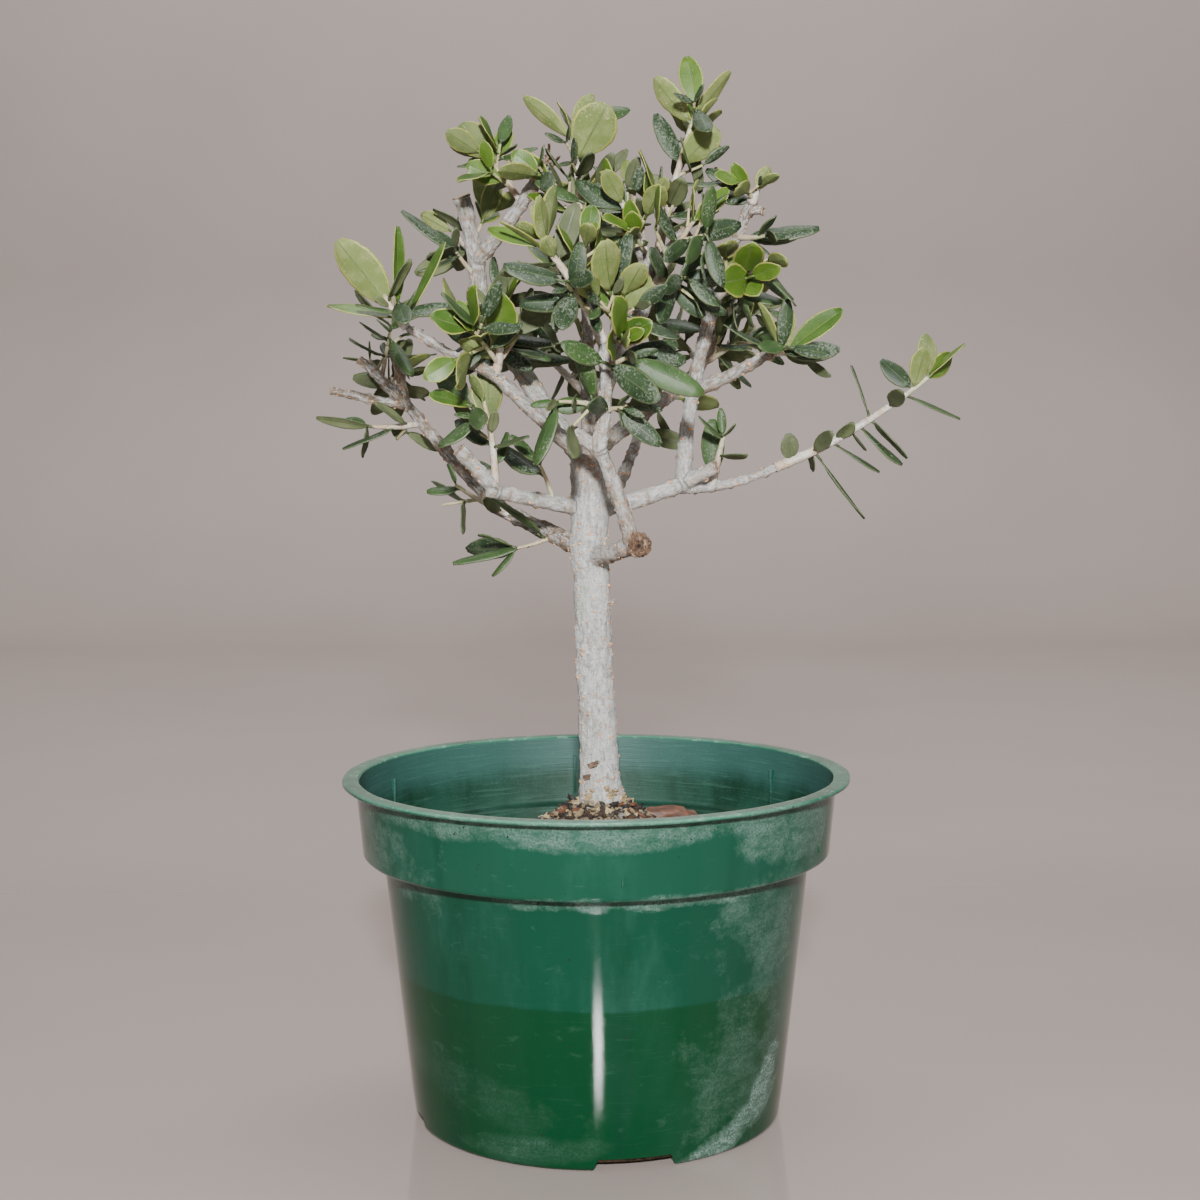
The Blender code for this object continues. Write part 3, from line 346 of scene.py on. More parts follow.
def hit_leaf(points, leaf, room):
    """Whether one of the points comes nearer to the leaf than this."""
    q = points - leaf.base
    s = q @ leaf.along / leaf.length
    h = q @ leaf.face + leaf.bend * leaf.length * s * s
    w = np.abs(q @ np.cross(leaf.face, leaf.along))
    near = (s > 0.02) & (s < 1.03) & (np.abs(h) < room) & (w < leaf.width / 2 + room)
    for i in np.nonzero(near)[0]:
        if w[i] < half_width(min(max(s[i], 0.1), 0.98), leaf.young) * leaf.width / 2 + room:
            return True
    return False


def rods_of(path, r0, r1, steps=6, first=0.0):
    """A path as straight rods: two ends and their radii."""
    ts = [first + (1 - first) * i / steps for i in range(steps + 1)]
    points = [place(path, t) for t in ts]
    radii = [r0 + (r1 - r0) * t for t in ts]
    return [(points[i], points[i + 1], radii[i], radii[i + 1]) for i in range(steps)]


class Crown:
    """The limbs' room, and every mass's twigs and leaves as they are added."""

    def __init__(self):
        self.limbs = limb_paths()
        self.names = list(MASSES)
        self.rods = np.zeros((0, 8))
        self.rod_owner = np.zeros(0, int)
        for path, foot_r, tip_r in self.limbs.values():
            self.add_rods(-1, rods_of(path, foot_r, tip_r))
        for path, foot_r, cut_r in stub_paths(self.limbs):
            self.add_rods(-1, rods_of(path, foot_r, cut_r, 3))
        self.stems = {}
        for owner, (name, mass) in enumerate(MASSES.items()):
            start = place(self.limbs[mass.bough][0], mass.share)
            self.stems[name] = path_of(start, mass.tip, mass.bow)
            self.add_rods(owner, rods_of(self.stems[name], mass.stem_r, mass.stem_r * STEM_TAPER))
        self.lines = np.array([[place(path, t / 8) for t in range(2, 9)] for path in self.stems.values()])
        self.reach = np.array([mass.reach for mass in MASSES.values()], float)
        self.leaves = []
        self.leaf_owner = np.zeros(0, int)
        self.middles = np.zeros((0, 3))
        self.outlines = np.zeros((0, len(OUTLINE_ROWS) * len(ACROSS), 3))
        self.led = {name: [] for name in MASSES}
        for name, rows in LEADING.items():
            owner = self.names.index(name)
            for row in rows:
                leaf = self.led_leaf(name, *row)
                if self.leaf_fits(owner, leaf):
                    self.led[name].append(leaf)
                    self.add_leaf(owner, leaf)

    def led_leaf(self, name, share, length, width, lean, front, turn, young):
        """A leaf that leans so far from upright to the right, and so far to the front.

        Its upper side is turned so far from facing the front.
        """
        lean, front, turn = (math.radians(angle) for angle in (lean, front, turn))
        flat = math.cos(front)
        along = np.array((math.sin(lean) * flat, -math.sin(front), math.cos(lean) * flat))
        face = rolled(unit(np.array((0, -1.0, 0)) + along * along[1]), along, turn)
        return Leaf(place(self.stems[name], share), along, face, length, width, young, 0.05)

    def add_rods(self, owner, rods):
        rows = [np.concatenate((a, b, (ra, rb))) for a, b, ra, rb in rods]
        self.rods = np.vstack((self.rods, rows))
        self.rod_owner = np.append(self.rod_owner, [owner] * len(rows))

    def add_leaf(self, owner, leaf):
        points = leaf_points(leaf, OUTLINE_ROWS)
        middle = points[7]
        self.leaves.append(leaf)
        self.leaf_owner = np.append(self.leaf_owner, owner)
        self.middles = np.vstack((self.middles, [middle]))
        self.outlines = np.vstack((self.outlines, [points]))

    def clear_of_rods(self, points, owner, own_room, room):
        """Whether all the points keep this far from the mass's own wood and from all other wood."""
        a, b = self.rods[:, 0:3], self.rods[:, 3:6]
        ab = b - a
        t = ((points[:, None, :] - a) * ab).sum(2) / (ab * ab).sum(1)
        t = np.clip(t, 0, 1)
        d = np.linalg.norm(points[:, None, :] - (a + t[..., None] * ab), axis=2)
        thick = self.rods[:, 6] + (self.rods[:, 7] - self.rods[:, 6]) * t
        return bool((d > thick + np.where(self.rod_owner == owner, own_room, room)).all())

    def owns(self, point, owner):
        """Whether a point lies in the mass's own space."""
        near = np.linalg.norm(self.lines - point, axis=2).min(1) / self.reach
        return near[owner] <= 1 and near[owner] * 0.8 <= np.delete(near, owner).min()

    def close_leaves(self, point):
        return np.nonzero(np.linalg.norm(self.middles - point, axis=1) < NEIGHBOUR)[0]

    def twig_fits(self, owner, path, r):
        points = np.array([place(path, t / 8) for t in range(3, 9)])
        if not self.owns(points[-1], owner) or not self.clear_of_rods(points, owner, r + 0.2, r + 0.5):
            return False
        return not any(hit_leaf(points, self.leaves[i], r + 0.6) for i in self.close_leaves(points[3]))

    def leaf_fits(self, owner, leaf):
        points = leaf_points(leaf, TEST_ROWS)
        middle, near_tip = points[12], points[17]
        if not self.owns(near_tip, owner) or not self.clear_of_rods(points, owner, 0.45, 0.75):
            return False
        for i in self.close_leaves(middle):
            room = 0.5 if self.leaf_owner[i] == owner else 0.85
            if hit_leaf(points, self.leaves[i], room) or hit_leaf(self.outlines[i], leaf, room):
                return False
        return True

    def clad(self, owner, rng, path, r0, r1, first, roll, level, out):
        """Opposite leaves, each pair a quarter turn on from the last, and twigs in some of their axils.

        Level 0 is a mass's stem, and level 1 is one of its twigs.
        """
        mass = MASSES[self.names[owner]]
        length = float(np.linalg.norm(path[1] - path[0]) + np.linalg.norm(path[2] - path[1]))
        count = max(1, round(length * (1 - first) / PAIR_STEPS[level]))
        fresh = rng.random() < mass.young_share * (2.5 if level == 0 else 1)
        for k in range(count + 1):
            t = min(first + (1 - first) * k / count, 0.985)
            axis, here = slope(path, t), place(path, t)
            radius = r0 + (r1 - r0) * t
            last = count - k
            young = fresh and (last == 0 or (last == 1 and rng.random() < mass.young_share))
            side = frame_of(axis, roll)
            roll += math.pi / 2 + rng.uniform(-0.25, 0.25)
            for radial in (-side, side):
                if level == 0 and last >= 1 and rng.random() < mass.twigs / (2.0 * count):
                    way = leaning(axis, radial, rng.uniform(0.7, 1.05), 0.12)
                    size = mass.twig_length * rng.uniform(0.7, 1.25) * (1.1 - 0.35 * t)
                    twig = path_of(here, here + way * size)
                    foot_r = max(TWIG_FOOT_R, mass.stem_r * 0.5)
                    if self.twig_fits(owner, twig, foot_r):
                        out["twigs"].append((twig, foot_r, TWIG_TIP_R))
                        self.add_rods(owner, rods_of(twig, foot_r, TWIG_TIP_R, 3, 0.25))
                        new_roll = roll + rng.uniform(0, 3)
                        self.clad(owner, rng, twig, foot_r, TWIG_TIP_R, 0.4, new_roll, 1, out)
                        continue
                if not young and rng.random() < 0.2:
                    continue
                self.try_leaf(owner, rng, here + radial * radius * 0.2, axis, radial, young, False, out)
            if last == 0 and (fresh or level == 0):
                side = frame_of(axis, roll)
                for radial in (-side, side):
                    self.try_leaf(owner, rng, here, axis, radial, young, True, out)

    def try_leaf(self, owner, rng, root, axis, radial, young, upright, out):
        """Adds a leaf of a random size and lean, if there is room for it."""
        mass = MASSES[self.names[owner]]
        if young:
            size, wide = mass.young_length * rng.uniform(0.72, 1.12), rng.uniform(0.44, 0.62)
            lean = rng.uniform(0.35, 0.75)
        else:
            size, wide = mass.old_length * rng.uniform(0.75, 1.12), rng.uniform(0.29, 0.42)
            lean = rng.uniform(0.85, 1.35)
        if upright:
            size *= rng.uniform(0.45, 0.75)
            lean *= 0.45
        along = leaning(axis, radial, lean, 0.1 if young else -0.12)
        face = unit(axis - along * float(axis @ along))
        face = unit(rolled(face, along, rng.uniform(-0.45, 0.45)))
        leaf = Leaf(root, along, face, size, size * wide, young, rng.uniform(0.0, 0.14))
        if self.leaf_fits(owner, leaf):
            out["leaves"].append(leaf)
            self.add_leaf(owner, leaf)

    def grow(self, name):
        """A mass's twigs and leaves, by the rule that the solids grow by."""
        owner, stem_r = self.names.index(name), MASSES[name].stem_r
        rng = random.Random(MASSES[name].seed * 97 + owner)
        out = {"twigs": [], "leaves": list(self.led[name])}
        roll = rng.uniform(0, math.pi)
        self.clad(owner, rng, self.stems[name], stem_r, stem_r * STEM_TAPER, 0.24, roll, 0, out)
        return out

    def finer(self, name, out, seed):
        """Short side twigs and single leaves on bare wood, wherever there is room left for them."""
        owner, mass = self.names.index(name), MASSES[name]
        rng = random.Random(seed * 89 + owner)
        lines = [(self.stems[name], mass.stem_r, mass.stem_r * STEM_TAPER)] + list(out["twigs"])
        for path, r0, r1 in lines:
            length = float(np.linalg.norm(path[2] - path[0]))
            for n in range(round(length / FINE_STEP)):
                t = rng.uniform(0.22, 0.97)
                axis, here = slope(path, t), place(path, t)
                radial = frame_of(axis, rng.uniform(0, 2 * math.pi))
                young = rng.random() < mass.young_share * 0.5 * t
                if rng.random() < 0.45:
                    self.side_twig(owner, rng, here, axis, radial, young, out)
                else:
                    start = here + radial * (r0 + (r1 - r0) * t) * 0.2
                    self.try_leaf(owner, rng, start, axis, radial, young, rng.random() < 0.5, out)

    def side_twig(self, owner, rng, here, axis, radial, young, out):
        """A short twig with one or two pairs of leaves; it goes again if no leaf finds room."""
        way = leaning(axis, radial, rng.uniform(0.6, 1.2), 0.1)
        twig = path_of(here, here + way * rng.uniform(4, 11))
        foot_r, tip_r = FINE_TWIG
        if not self.twig_fits(owner, twig, foot_r):
            return
        rods, owners, count = self.rods, self.rod_owner, len(out["leaves"])
        self.add_rods(owner, rods_of(twig, foot_r, tip_r, 3, 0.25))
        roll = rng.uniform(0, math.pi)
        for t in (0.55, 1.0):
            axis = slope(twig, t)
            side = frame_of(axis, roll)
            roll += math.pi / 2
            for radial in (-side, side):
                self.try_leaf(owner, rng, place(twig, t), axis, radial, young, t == 1.0, out)
        if len(out["leaves"]) == count:
            self.rods, self.rod_owner = rods, owners
        else:
            out["twigs"].append((twig, foot_r, tip_r))


# ---------------------------------------------------------------- driving sizes

POT_SIDES = 192
RIM_R = 82.5
POT_HEIGHT = 111.2
FLANGE_THICK = 1.3
COLLAR_TOP_R = 78.1
COLLAR_FOOT_R = 76.0
COLLAR_FOOT_Z = 86.1
BODY_TOP_R = 69.4
BODY_FOOT_R = 59.8
WALL = 1.15
FLOOR = 1.6
NOTCHES = 4
NOTCH_HEIGHT = 4.0
NOTCH_WIDTH_FOOT = 26.5
NOTCH_WIDTH_TOP = 22.6
NOTCH_DEPTH = 9.0
NOTCH_TURN = 11.0
RIBS = 6
FADE_Z = 51.0  # above this height the wall has faded

# the mound of soil: radius and height, from the trunk out to the wall
MOUND = ((0, 99.2), (9.6, 99.2), (12, 98.2), (17, 95.6), (26, 91.9), (38, 86.9), (55, 81.9), (67, 79.6))
SOIL_RINGS = (64, 60, 56, 52, 48, 44, 40, 36, 32, 28, 24, 20, 16, 12, 8, 4, 1)
HEAP = 2.6  # the grit is heaped this much against the trunk
GRAINS = 6000
GRAIN_SHARES = (0.27, 0.19, 0.33, 0.16, 0.05)  # of pumice, straw, char, humus and stone
BARK_BITS = 150
CHIP_AT = (24.5, 9, 94.6)

VOXEL = 0.55  # the grain of the grown wood's mesh
LENTICELS = 800
TRUNK_PORES = 5.0  # pores to a length of trunk, against one for a bough
SLIM_R = 4.2  # a limb under this radius carries rings

# the healed knob in front: middle, the way it faces, radius
KNUCKLE = ((13.7, -27.4, 186.8), (0.16, -0.96, -0.10), 3.5)

# knobs at the foot of the trunk: turn from the front in degrees, height, spread
ROOT_KNOBS = ((-35, 104.0, 1.3), (22, 105.5, 1.4), (66, 102.5, 1.2), (150, 105, 1.4), (230, 104, 1.4))

# flakes on the front of the trunk: place across, height, lean, length
SCARS = ((-2.2, 114.4, 0.42, 4.6), (-3.8, 110.4, 0.30, 4.0))

# how much brown crust a slim limb carries; the others carry CRUST; the two back-left boughs carry more, which
# also paints the shade on them
CRUST = 0.9
PALE_LIMBS = {
    "right_bough": 0.15, "right_long_bough": 0.12, "right_upright_bough": 0.45,
    "left_low_bough": 0.25, "knuckle_bough": 0.45, "tall_stub_bough": 0.6,
    "back_left_bough": 1.5, "back_left_end": 1.5,
}

# painted shade: brown where the boughs fork and at the foot of the knob; x, y, z, reach, strength
FORK_SHADES = (
    (-0.5, -4, 213, 11, 1.0), (-6, 2, 206, 9, 0.7), (7, -14, 185, 8, 0.55), (12, -25, 190, 7, 0.8),
    (4, 6, 210, 9, 0.8),
)

# dried water marks: turn from the front, height, half turn, half height, slant, ragged, strength
WATER_MARKS = (
    (-0.05, 107.5, 1.25, 5.0, 0.0, 0.9, 0.36),
    (0.05, 105.0, 0.30, 5.0, 0.0, 0.8, 0.36),
    (0.95, 101.0, 0.40, 9.0, 0.0, 1.2, 0.30),
    (0.35, 84.4, 0.75, 3.2, 0.0, 1.0, 0.45),
    (1.05, 72.0, 0.50, 18.0, -6.0, 1.1, 0.20),
    (0.90, 34.0, 0.50, 28.0, 30.0, 1.3, 0.13),
    (1.02, 21.0, 0.15, 9.0, 60.0, 1.0, 0.62),
    (0.76, 6.5, 0.40, 6.0, 28.0, 0.9, 0.60),
    (-0.34, 6.0, 0.42, 5.0, 4.0, 0.5, 0.09),
    (-0.70, 22.0, 0.60, 8.0, -14.0, 1.3, 0.05),
    (-1.30, 90.0, 0.55, 16.0, 0.0, 1.5, 0.20),
    (2.60, 60.0, 0.70, 26.0, 10.0, 1.5, 0.30),
    (-2.30, 30.0, 0.60, 18.0, -8.0, 1.6, 0.32),
)
POT_DEEP = (0.0003, 0.032, 0.0105)
POT_FADED = (0.0016, 0.040, 0.021)
POT_COLLAR = (0.0038, 0.048, 0.027)
# the rim's top edge: rubbed paler in places, and a painted highlight all along it
RIM_WEAR_AND_HIGHLIGHT = (0.075, 0.22, 0.145)

# the lights: place, aim, width, height in metres, watts
LIGHTS = {
    "front_key": ((0.012, -1.10, 0.54), (0, 0, 0.17), 0.08, 0.07, 34),
    "wall_wash": ((0, 0.70, 1.75), (0, 1.70, 0.35), 2.0, 0.5, 35),
    "soft_left": ((-1.2, -0.7, 0.9), (0, 0, 0.2), 0.9, 0.9, 3),
    "soft_right": ((1.3, -0.5, 0.9), (0, 0, 0.2), 0.9, 0.9, 3),
    "soft_back": ((0.3, 0.35, 1.5), (0, 0, 0.2), 0.9, 0.7, 4),
}
CAMERA_AT = (0.00173, -0.64357, 0.22496)
CAMERA_DROP = 0.089  # radians that it looks down
CAMERA_ROLL = -0.006


# ---------------------------------------------------------------- small tools


def only(item):
    """Selects this object alone and makes it active."""
    bpy.ops.object.select_all(action="DESELECT")
    item.select_set(True)
    bpy.context.view_layer.objects.active = item


@contextmanager
def editing(item):
    """Edit mode on this object, with all of it selected."""
    only(item)
    bpy.ops.object.mode_set(mode="EDIT")
    bpy.ops.mesh.select_all(action="SELECT")
    yield
    bpy.ops.object.mode_set(mode="OBJECT")


def settle(item):
    """Puts an object's place into its mesh."""
    only(item)
    bpy.ops.object.transform_apply(location=True, rotation=True, scale=True)


def join(name, items):
    bpy.ops.object.select_all(action="DESELECT")
    for item in items:
        item.select_set(True)
    bpy.context.view_layer.objects.active = items[0]
    if len(items) > 1:
        bpy.ops.object.join()
    whole = bpy.context.view_layer.objects.active
    whole.name = name
    whole.data.name = name
    settle(whole)
    return whole


def apply_all(item):
    only(item)
    for modifier in list(item.modifiers):
        bpy.ops.object.modifier_apply(modifier=modifier.name)


def in_scene(name, data):
    """A new object of this data, placed in the scene."""
    item = bpy.data.objects.new(name, data)
    bpy.context.scene.collection.objects.link(item)
    return item


def mesh_object(name, points, faces, slots=None, smooth=True):
    """An object from points in millimetres, faces of one size or several, and a slot for each face."""
    mesh = bpy.data.meshes.new(name)
    mesh.from_pydata((np.asarray(points) * MM).tolist(), [], [list(map(int, f)) for f in faces])
    if slots is not None:
        mesh.polygons.foreach_set("material_index", np.asarray(slots, np.int32))
    if smooth:
        mesh.shade_smooth()
    mesh.validate()
    return in_scene(name, mesh)


def copies(name, shapes, faces, slots=None):
    """Many copies of a small shape as one object: the points of each, the faces of one, a slot for each.

    Copies that have slots are left flat."""
    whole = np.vstack([faces + k * len(shapes[0]) for k in range(len(shapes))])
    if slots is not None:
        slots = np.repeat(slots, len(faces))
    return mesh_object(name, np.vstack(shapes), whole, slots, smooth=slots is None)


def ball_shape(divisions):
    """Points and faces of a small round shape that is repeated often."""
    bpy.ops.mesh.primitive_ico_sphere_add(subdivisions=divisions, radius=1.0)
    seed = bpy.context.active_object
    points = np.array([v.co for v in seed.data.vertices])
    faces = np.array([f.vertices for f in seed.data.polygons])
    bpy.data.objects.remove(seed, do_unlink=True)
    return points, faces


def jagged(rng, points, low, high):
    """A small shape with each of its points drawn in or pushed out at random."""
    return points * np.array([[rng.uniform(low, high)] for point in points])


def turning(rng):
    """A random turn as a 3 by 3 array."""
    spin = Matrix.Rotation(rng.uniform(0, 6.28), 3, "Z") @ Matrix.Rotation(rng.uniform(-1.2, 1.2), 3, "X")
    return np.array(spin @ Matrix.Rotation(rng.uniform(0, 6.28), 3, "Z"))


def turned_to(way):
    return Vector([float(c) for c in way]).to_track_quat("Z", "Y").to_euler()


def around(turn, r, z):
    return (r * math.cos(turn), r * math.sin(turn), z)


def points_of(item):
    points = np.empty(len(item.data.vertices) * 3, np.float32)
    item.data.vertices.foreach_get("co", points)
    return points.reshape(-1, 3).astype(float) / MM


def set_points(item, points):
    item.data.vertices.foreach_set("co", (points * MM).astype(np.float32).ravel())
    item.data.update()


def normals_of(item):
    return np.array([v.normal for v in item.data.vertices])


def point_value(item, name, values):
    """Stores one number at each point of the mesh for the shader."""
    store = item.data.attributes.new(name, "FLOAT", "POINT")
    store.data.foreach_set("value", values.astype(np.float32))


def paint(item, *materials):
    """Fills the slots in order; the faces keep the slot numbers that they were made with."""
    slots = item.data.materials
    for n, material in enumerate(materials):
        if n < len(slots):
            slots[n] = material
        else:
            slots.append(material)
    return item


def surface_of(item):
    return BVHTree.FromObject(item, bpy.context.evaluated_depsgraph_get())


def met(surface, start, way, reach):
    """Where a ray meets the surface, and the way that the surface faces there; None where it misses."""
    spot, normal = surface.ray_cast(Vector(start * MM), Vector(way), reach * MM)[:2]
    return None if spot is None else (np.array(spot) / MM, np.array(normal))


def lattice(p):
    """Smooth random values from 0 to 1 at an array of points, about one bump to the unit."""
    cell = np.floor(p).astype(np.int64)
    f = p - cell
    f = f * f * (3 - 2 * f)
    total = np.zeros(len(p))
    for dx in (0, 1):
        for dy in (0, 1):
            for dz in (0, 1):
                x, y, z = cell[:, 0] + dx, cell[:, 1] + dy, cell[:, 2] + dz
                h = (x * 374761393 + y * 668265263 + z * 2147483647) & 0xFFFFFFFF
                h = ((h ^ (h >> 13)) * 1274126177) & 0xFFFFFFFF
                value = ((h ^ (h >> 16)) & 0xFFFF) / 65535.0
                wx = f[:, 0] if dx else 1 - f[:, 0]
                wy = f[:, 1] if dy else 1 - f[:, 1]
                wz = f[:, 2] if dz else 1 - f[:, 2]
                total += value * wx * wy * wz
    return total


def layers(p, octaves=3):
    """Several sizes of the same noise, from 0 to 1."""
    total, weight = np.zeros(len(p)), 0.0
    for k in range(octaves):
        total += lattice(p * 2.0 ** k + 17.3 * k) * 0.5 ** k
        weight += 0.5 ** k
    return total / weight


# ---------------------------------------------------------------- shader tools


class Nodes:
    """A shader's node tree and the few moves that it is made with."""

    def __init__(self, tree):
        self.tree = tree

    def add(self, kind, **settings):
        node = self.tree.nodes.new(kind)
        for key, value in settings.items():
            setattr(node, key, value)
        return node

    def put(self, socket, value):
        """Links a socket to another, or gives it a value."""
        if isinstance(value, bpy.types.NodeSocket):
            self.tree.links.new(value, socket)
        elif hasattr(socket.default_value, "__len__") and len(socket.default_value) == 4:
            socket.default_value = (*value, 1.0)
        else:
            socket.default_value = value

    def fill(self, node, **values):
        for key, value in values.items():
            self.put(node.inputs[key.replace("_", " ")], value)

    def split(self, vector):
        """The x, y and z of a vector."""
        node = self.add("ShaderNodeSeparateXYZ")
        self.put(node.inputs[0], vector)
        return node.outputs

    def noise(self, vector, scale, detail=3.0, roughness=0.55, distortion=0.0):
        node = self.add("ShaderNodeTexNoise")
        self.fill(node, Vector=vector, Scale=scale, Detail=detail, Roughness=roughness, Distortion=distortion)
        return node.outputs["Fac"]

    def maths(self, operation, a, b=0.0, c=None):
        node = self.add("ShaderNodeMath", operation=operation)
        for n, value in enumerate((a, b) if c is None else (a, b, c)):
            self.put(node.inputs[n], value)
        return node.outputs[0]

    def times(self, a, b):
        return self.maths("MULTIPLY", a, b)

    def times_plus(self, a, b, c):
        """a times b, plus c."""
        return self.maths("MULTIPLY_ADD", a, b, c)

    def between(self, value, low, high, kind="SMOOTHSTEP"):
        """0 below low, 1 above high; the other way round where low is the larger."""
        node = self.add("ShaderNodeMapRange", interpolation_type=kind)
        limits = (low, high, 0.0, 1.0) if low <= high else (high, low, 1.0, 0.0)
        for n, number in enumerate((value, *limits)):
            self.put(node.inputs[n], number)
        return node.outputs["Result"]


class Group(Nodes):
    """A shader group that takes a vector and named numbers, and puts out one mask."""

    def __init__(self, name, **numbers):
        super().__init__(bpy.data.node_groups.new(name, "ShaderNodeTree"))
        self.socket("Vector", "INPUT", "NodeSocketVector")
        for key, value in numbers.items():
            self.socket(key.replace("_", " "), "INPUT", "NodeSocketFloat").default_value = value
        self.socket("Mask", "OUTPUT", "NodeSocketFloat")
        self.given = self.add("NodeGroupInput").outputs
        self.mask = self.add("NodeGroupOutput").inputs["Mask"]

    def socket(self, label, side, kind):
        return self.tree.interface.new_socket(label, in_out=side, socket_type=kind)


class Finish(Nodes):
    """A material, whose nodes feed its Principled shader."""

    def __init__(self, name, roughness=0.5, specular=0.5):
        self.mat = bpy.data.materials.new(name)
        self.mat.use_nodes = True
        super().__init__(self.mat.node_tree)
        self.shader = self.tree.nodes["Principled BSDF"]
        self.fill(self.shader, Roughness=roughness, Specular_IOR_Level=specular)
        self.object = self.add("ShaderNodeTexCoord").outputs["Object"]

    def attribute(self, name, output="Fac"):
        return self.add("ShaderNodeAttribute", attribute_name=name).outputs[output]

    def stretched(self, vector, *scale):
        node = self.add("ShaderNodeMapping")
        self.fill(node, Vector=vector, Scale=scale)
        return node.outputs["Vector"]

    def mix(self, share, a, b):
        node = self.add("ShaderNodeMix", data_type="RGBA", blend_type="MIX")
        for n, value in ((0, share), (6, a), (7, b)):
            self.put(node.inputs[n], value)
        return node.outputs[2]

    def coat(self, base, mask, strength, colour):
        """Lays a colour over the base where the mask lets it, at this strength."""
        return self.mix(self.times(mask, strength), base, colour)

    def coats(self, base, *rows):
        """Lays colours over the base in turn.

        A row is a pattern, the values where it starts and is full, its strength and its colour."""
        for pattern, low, high, strength, colour in rows:
            base = self.coat(base, self.between(pattern, low, high), strength, colour)
        return base

    def mask(self, tree, **inputs):
        """What a group of nodes puts out for these inputs."""
        node = self.add("ShaderNodeGroup")
        node.node_tree = tree
        self.fill(node, Vector=self.object, **inputs)
        return node.outputs["Mask"]

    def bump(self, height, distance, strength=1.0):
        node = self.add("ShaderNodeBump")
        self.fill(node, Height=height, Distance=distance, Strength=strength)
        return node.outputs["Normal"]

    def done(self, colour, normal=None, roughness=None):
        """The finished material."""
        for key, value in (("Base Color", colour), ("Normal", normal), ("Roughness", roughness)):
            if value is not None:
                self.put(self.shader.inputs[key], value)
        return self.mat


def flecks_group():
    """Small pale flecks that gather in patches."""
    g = Group("flecks", Scale=1500.0, Patches=90.0, Amount=0.5)
    fine = g.noise(g.given["Vector"], g.given["Scale"], 2.0, 0.6)
    wide = g.noise(g.given["Vector"], g.given["Patches"], 2.0, 0.5)
    both = g.times_plus(g.given["Amount"], 0.3, g.times_plus(wide, 0.55, fine))
    g.put(g.mask, g.between(both, 0.98, 1.12, "LINEAR"))
    return g.tree


def water_mark_group():
    """One wispy patch of dried water marks on the round wall of the pot."""
    g = Group("water_mark", Turn=0.0, Height=0.05, Half_turn=0.3, Half_height=0.01, Slant=0.0, Ragged=1.0)
    x, y, z = g.split(g.given["Vector"])
    off = g.maths("SUBTRACT", g.maths("ARCTAN2", x, g.times(y, -1.0)), g.given["Turn"])
    across = g.maths("DIVIDE", off, g.given["Half turn"])
    level = g.maths("ADD", g.given["Height"], g.times(off, g.given["Slant"]))
    tall = g.maths("DIVIDE", g.maths("SUBTRACT", z, level), g.given["Half height"])
    far = g.times_plus(tall, tall, g.times(across, across))
    rag = g.noise(g.given["Vector"], 70.0, 7.0, 0.7)
    pushed = g.times(g.maths("SUBTRACT", rag, 0.5), g.given["Ragged"])
    g.put(g.mask, g.between(g.times_plus(pushed, 4.5, far), 1.15, 0.25, "LINEAR"))
    return g.tree


FLECKS = flecks_group()
WATER_MARK = water_mark_group()


# ---------------------------------------------------------------- finishes


def bark_finish():
    """Silvery bark with a fine net of cracks, greener in patches, browner on slim boughs (on the back-left
    ones partly painted shade), with brown painted shade under the boughs and where they fork.
    """
    f = Finish("bark", 0.85, 0.25)
    limb = f.attribute("limb", "Vector")
    slim = f.attribute("slim")
    streak = f.noise(f.stretched(limb, 1.0, 1.0, 0.42), 760.0, 5.0, 0.7)
    fibre = f.noise(f.stretched(limb, 1.0, 1.0, 0.26), 1500.0, 4.0, 0.7, 0.5)
    web = f.noise(f.stretched(limb, 1.0, 1.0, 0.75), 1250.0, 5.0, 0.78, 1.2)
    wrinkle = f.noise(f.stretched(limb, 0.5, 0.5, 3.0), 480.0, 3.0, 0.6)
    blotch = f.noise(f.object, 70.0, 3.0)
    green = f.noise(f.object, 48.0, 4.0, 0.62)
    tan = f.noise(f.object, 120.0, 4.0, 0.6)
    crust = f.noise(f.stretched(limb, 1.0, 1.0, 0.4), 430.0, 5.0, 0.75)
    base = f.mix(f.between(streak, 0.38, 0.60), (0.34, 0.335, 0.32), (0.55, 0.55, 0.54))
    base = f.coats(
        base,
        (blotch, 0.45, 0.70, 0.50, (0.61, 0.61, 0.60)),
        (green, 0.50, 0.70, 0.50, (0.31, 0.36, 0.25)),
        (tan, 0.56, 0.72, 0.45, (0.36, 0.28, 0.20)),
        (web, 0.46, 0.37, 0.62, (0.22, 0.205, 0.18)),
        (web, 0.53, 0.63, 0.60, (0.74, 0.75, 0.75)),
        (fibre, 0.43, 0.32, 0.50, (0.17, 0.145, 0.11)),
        (wrinkle, 0.40, 0.31, 0.35, (0.24, 0.20, 0.15)),
    )
    # brown crust on slim boughs, partly painted shade on the back-left ones
    base = f.coat(base, f.times(slim, f.between(crust, 0.45, 0.56)), 0.62, (0.23, 0.17, 0.115))
    base = f.coat(base, slim, f.times(f.between(fibre, 0.50, 0.40), 0.6), (0.13, 0.10, 0.07))
    # brown near the cuts and on the leaf rings, and painted shade: brown under the boughs and where they fork
    base = f.coat(base, f.attribute("brown_and_shade"), 0.85, (0.26, 0.165, 0.10))
    rise = f.times_plus(fibre, 0.6, f.times_plus(web, 0.9, streak))
    return f.done(base, f.bump(f.times_plus(wrinkle, 0.5, rise), 0.0008))


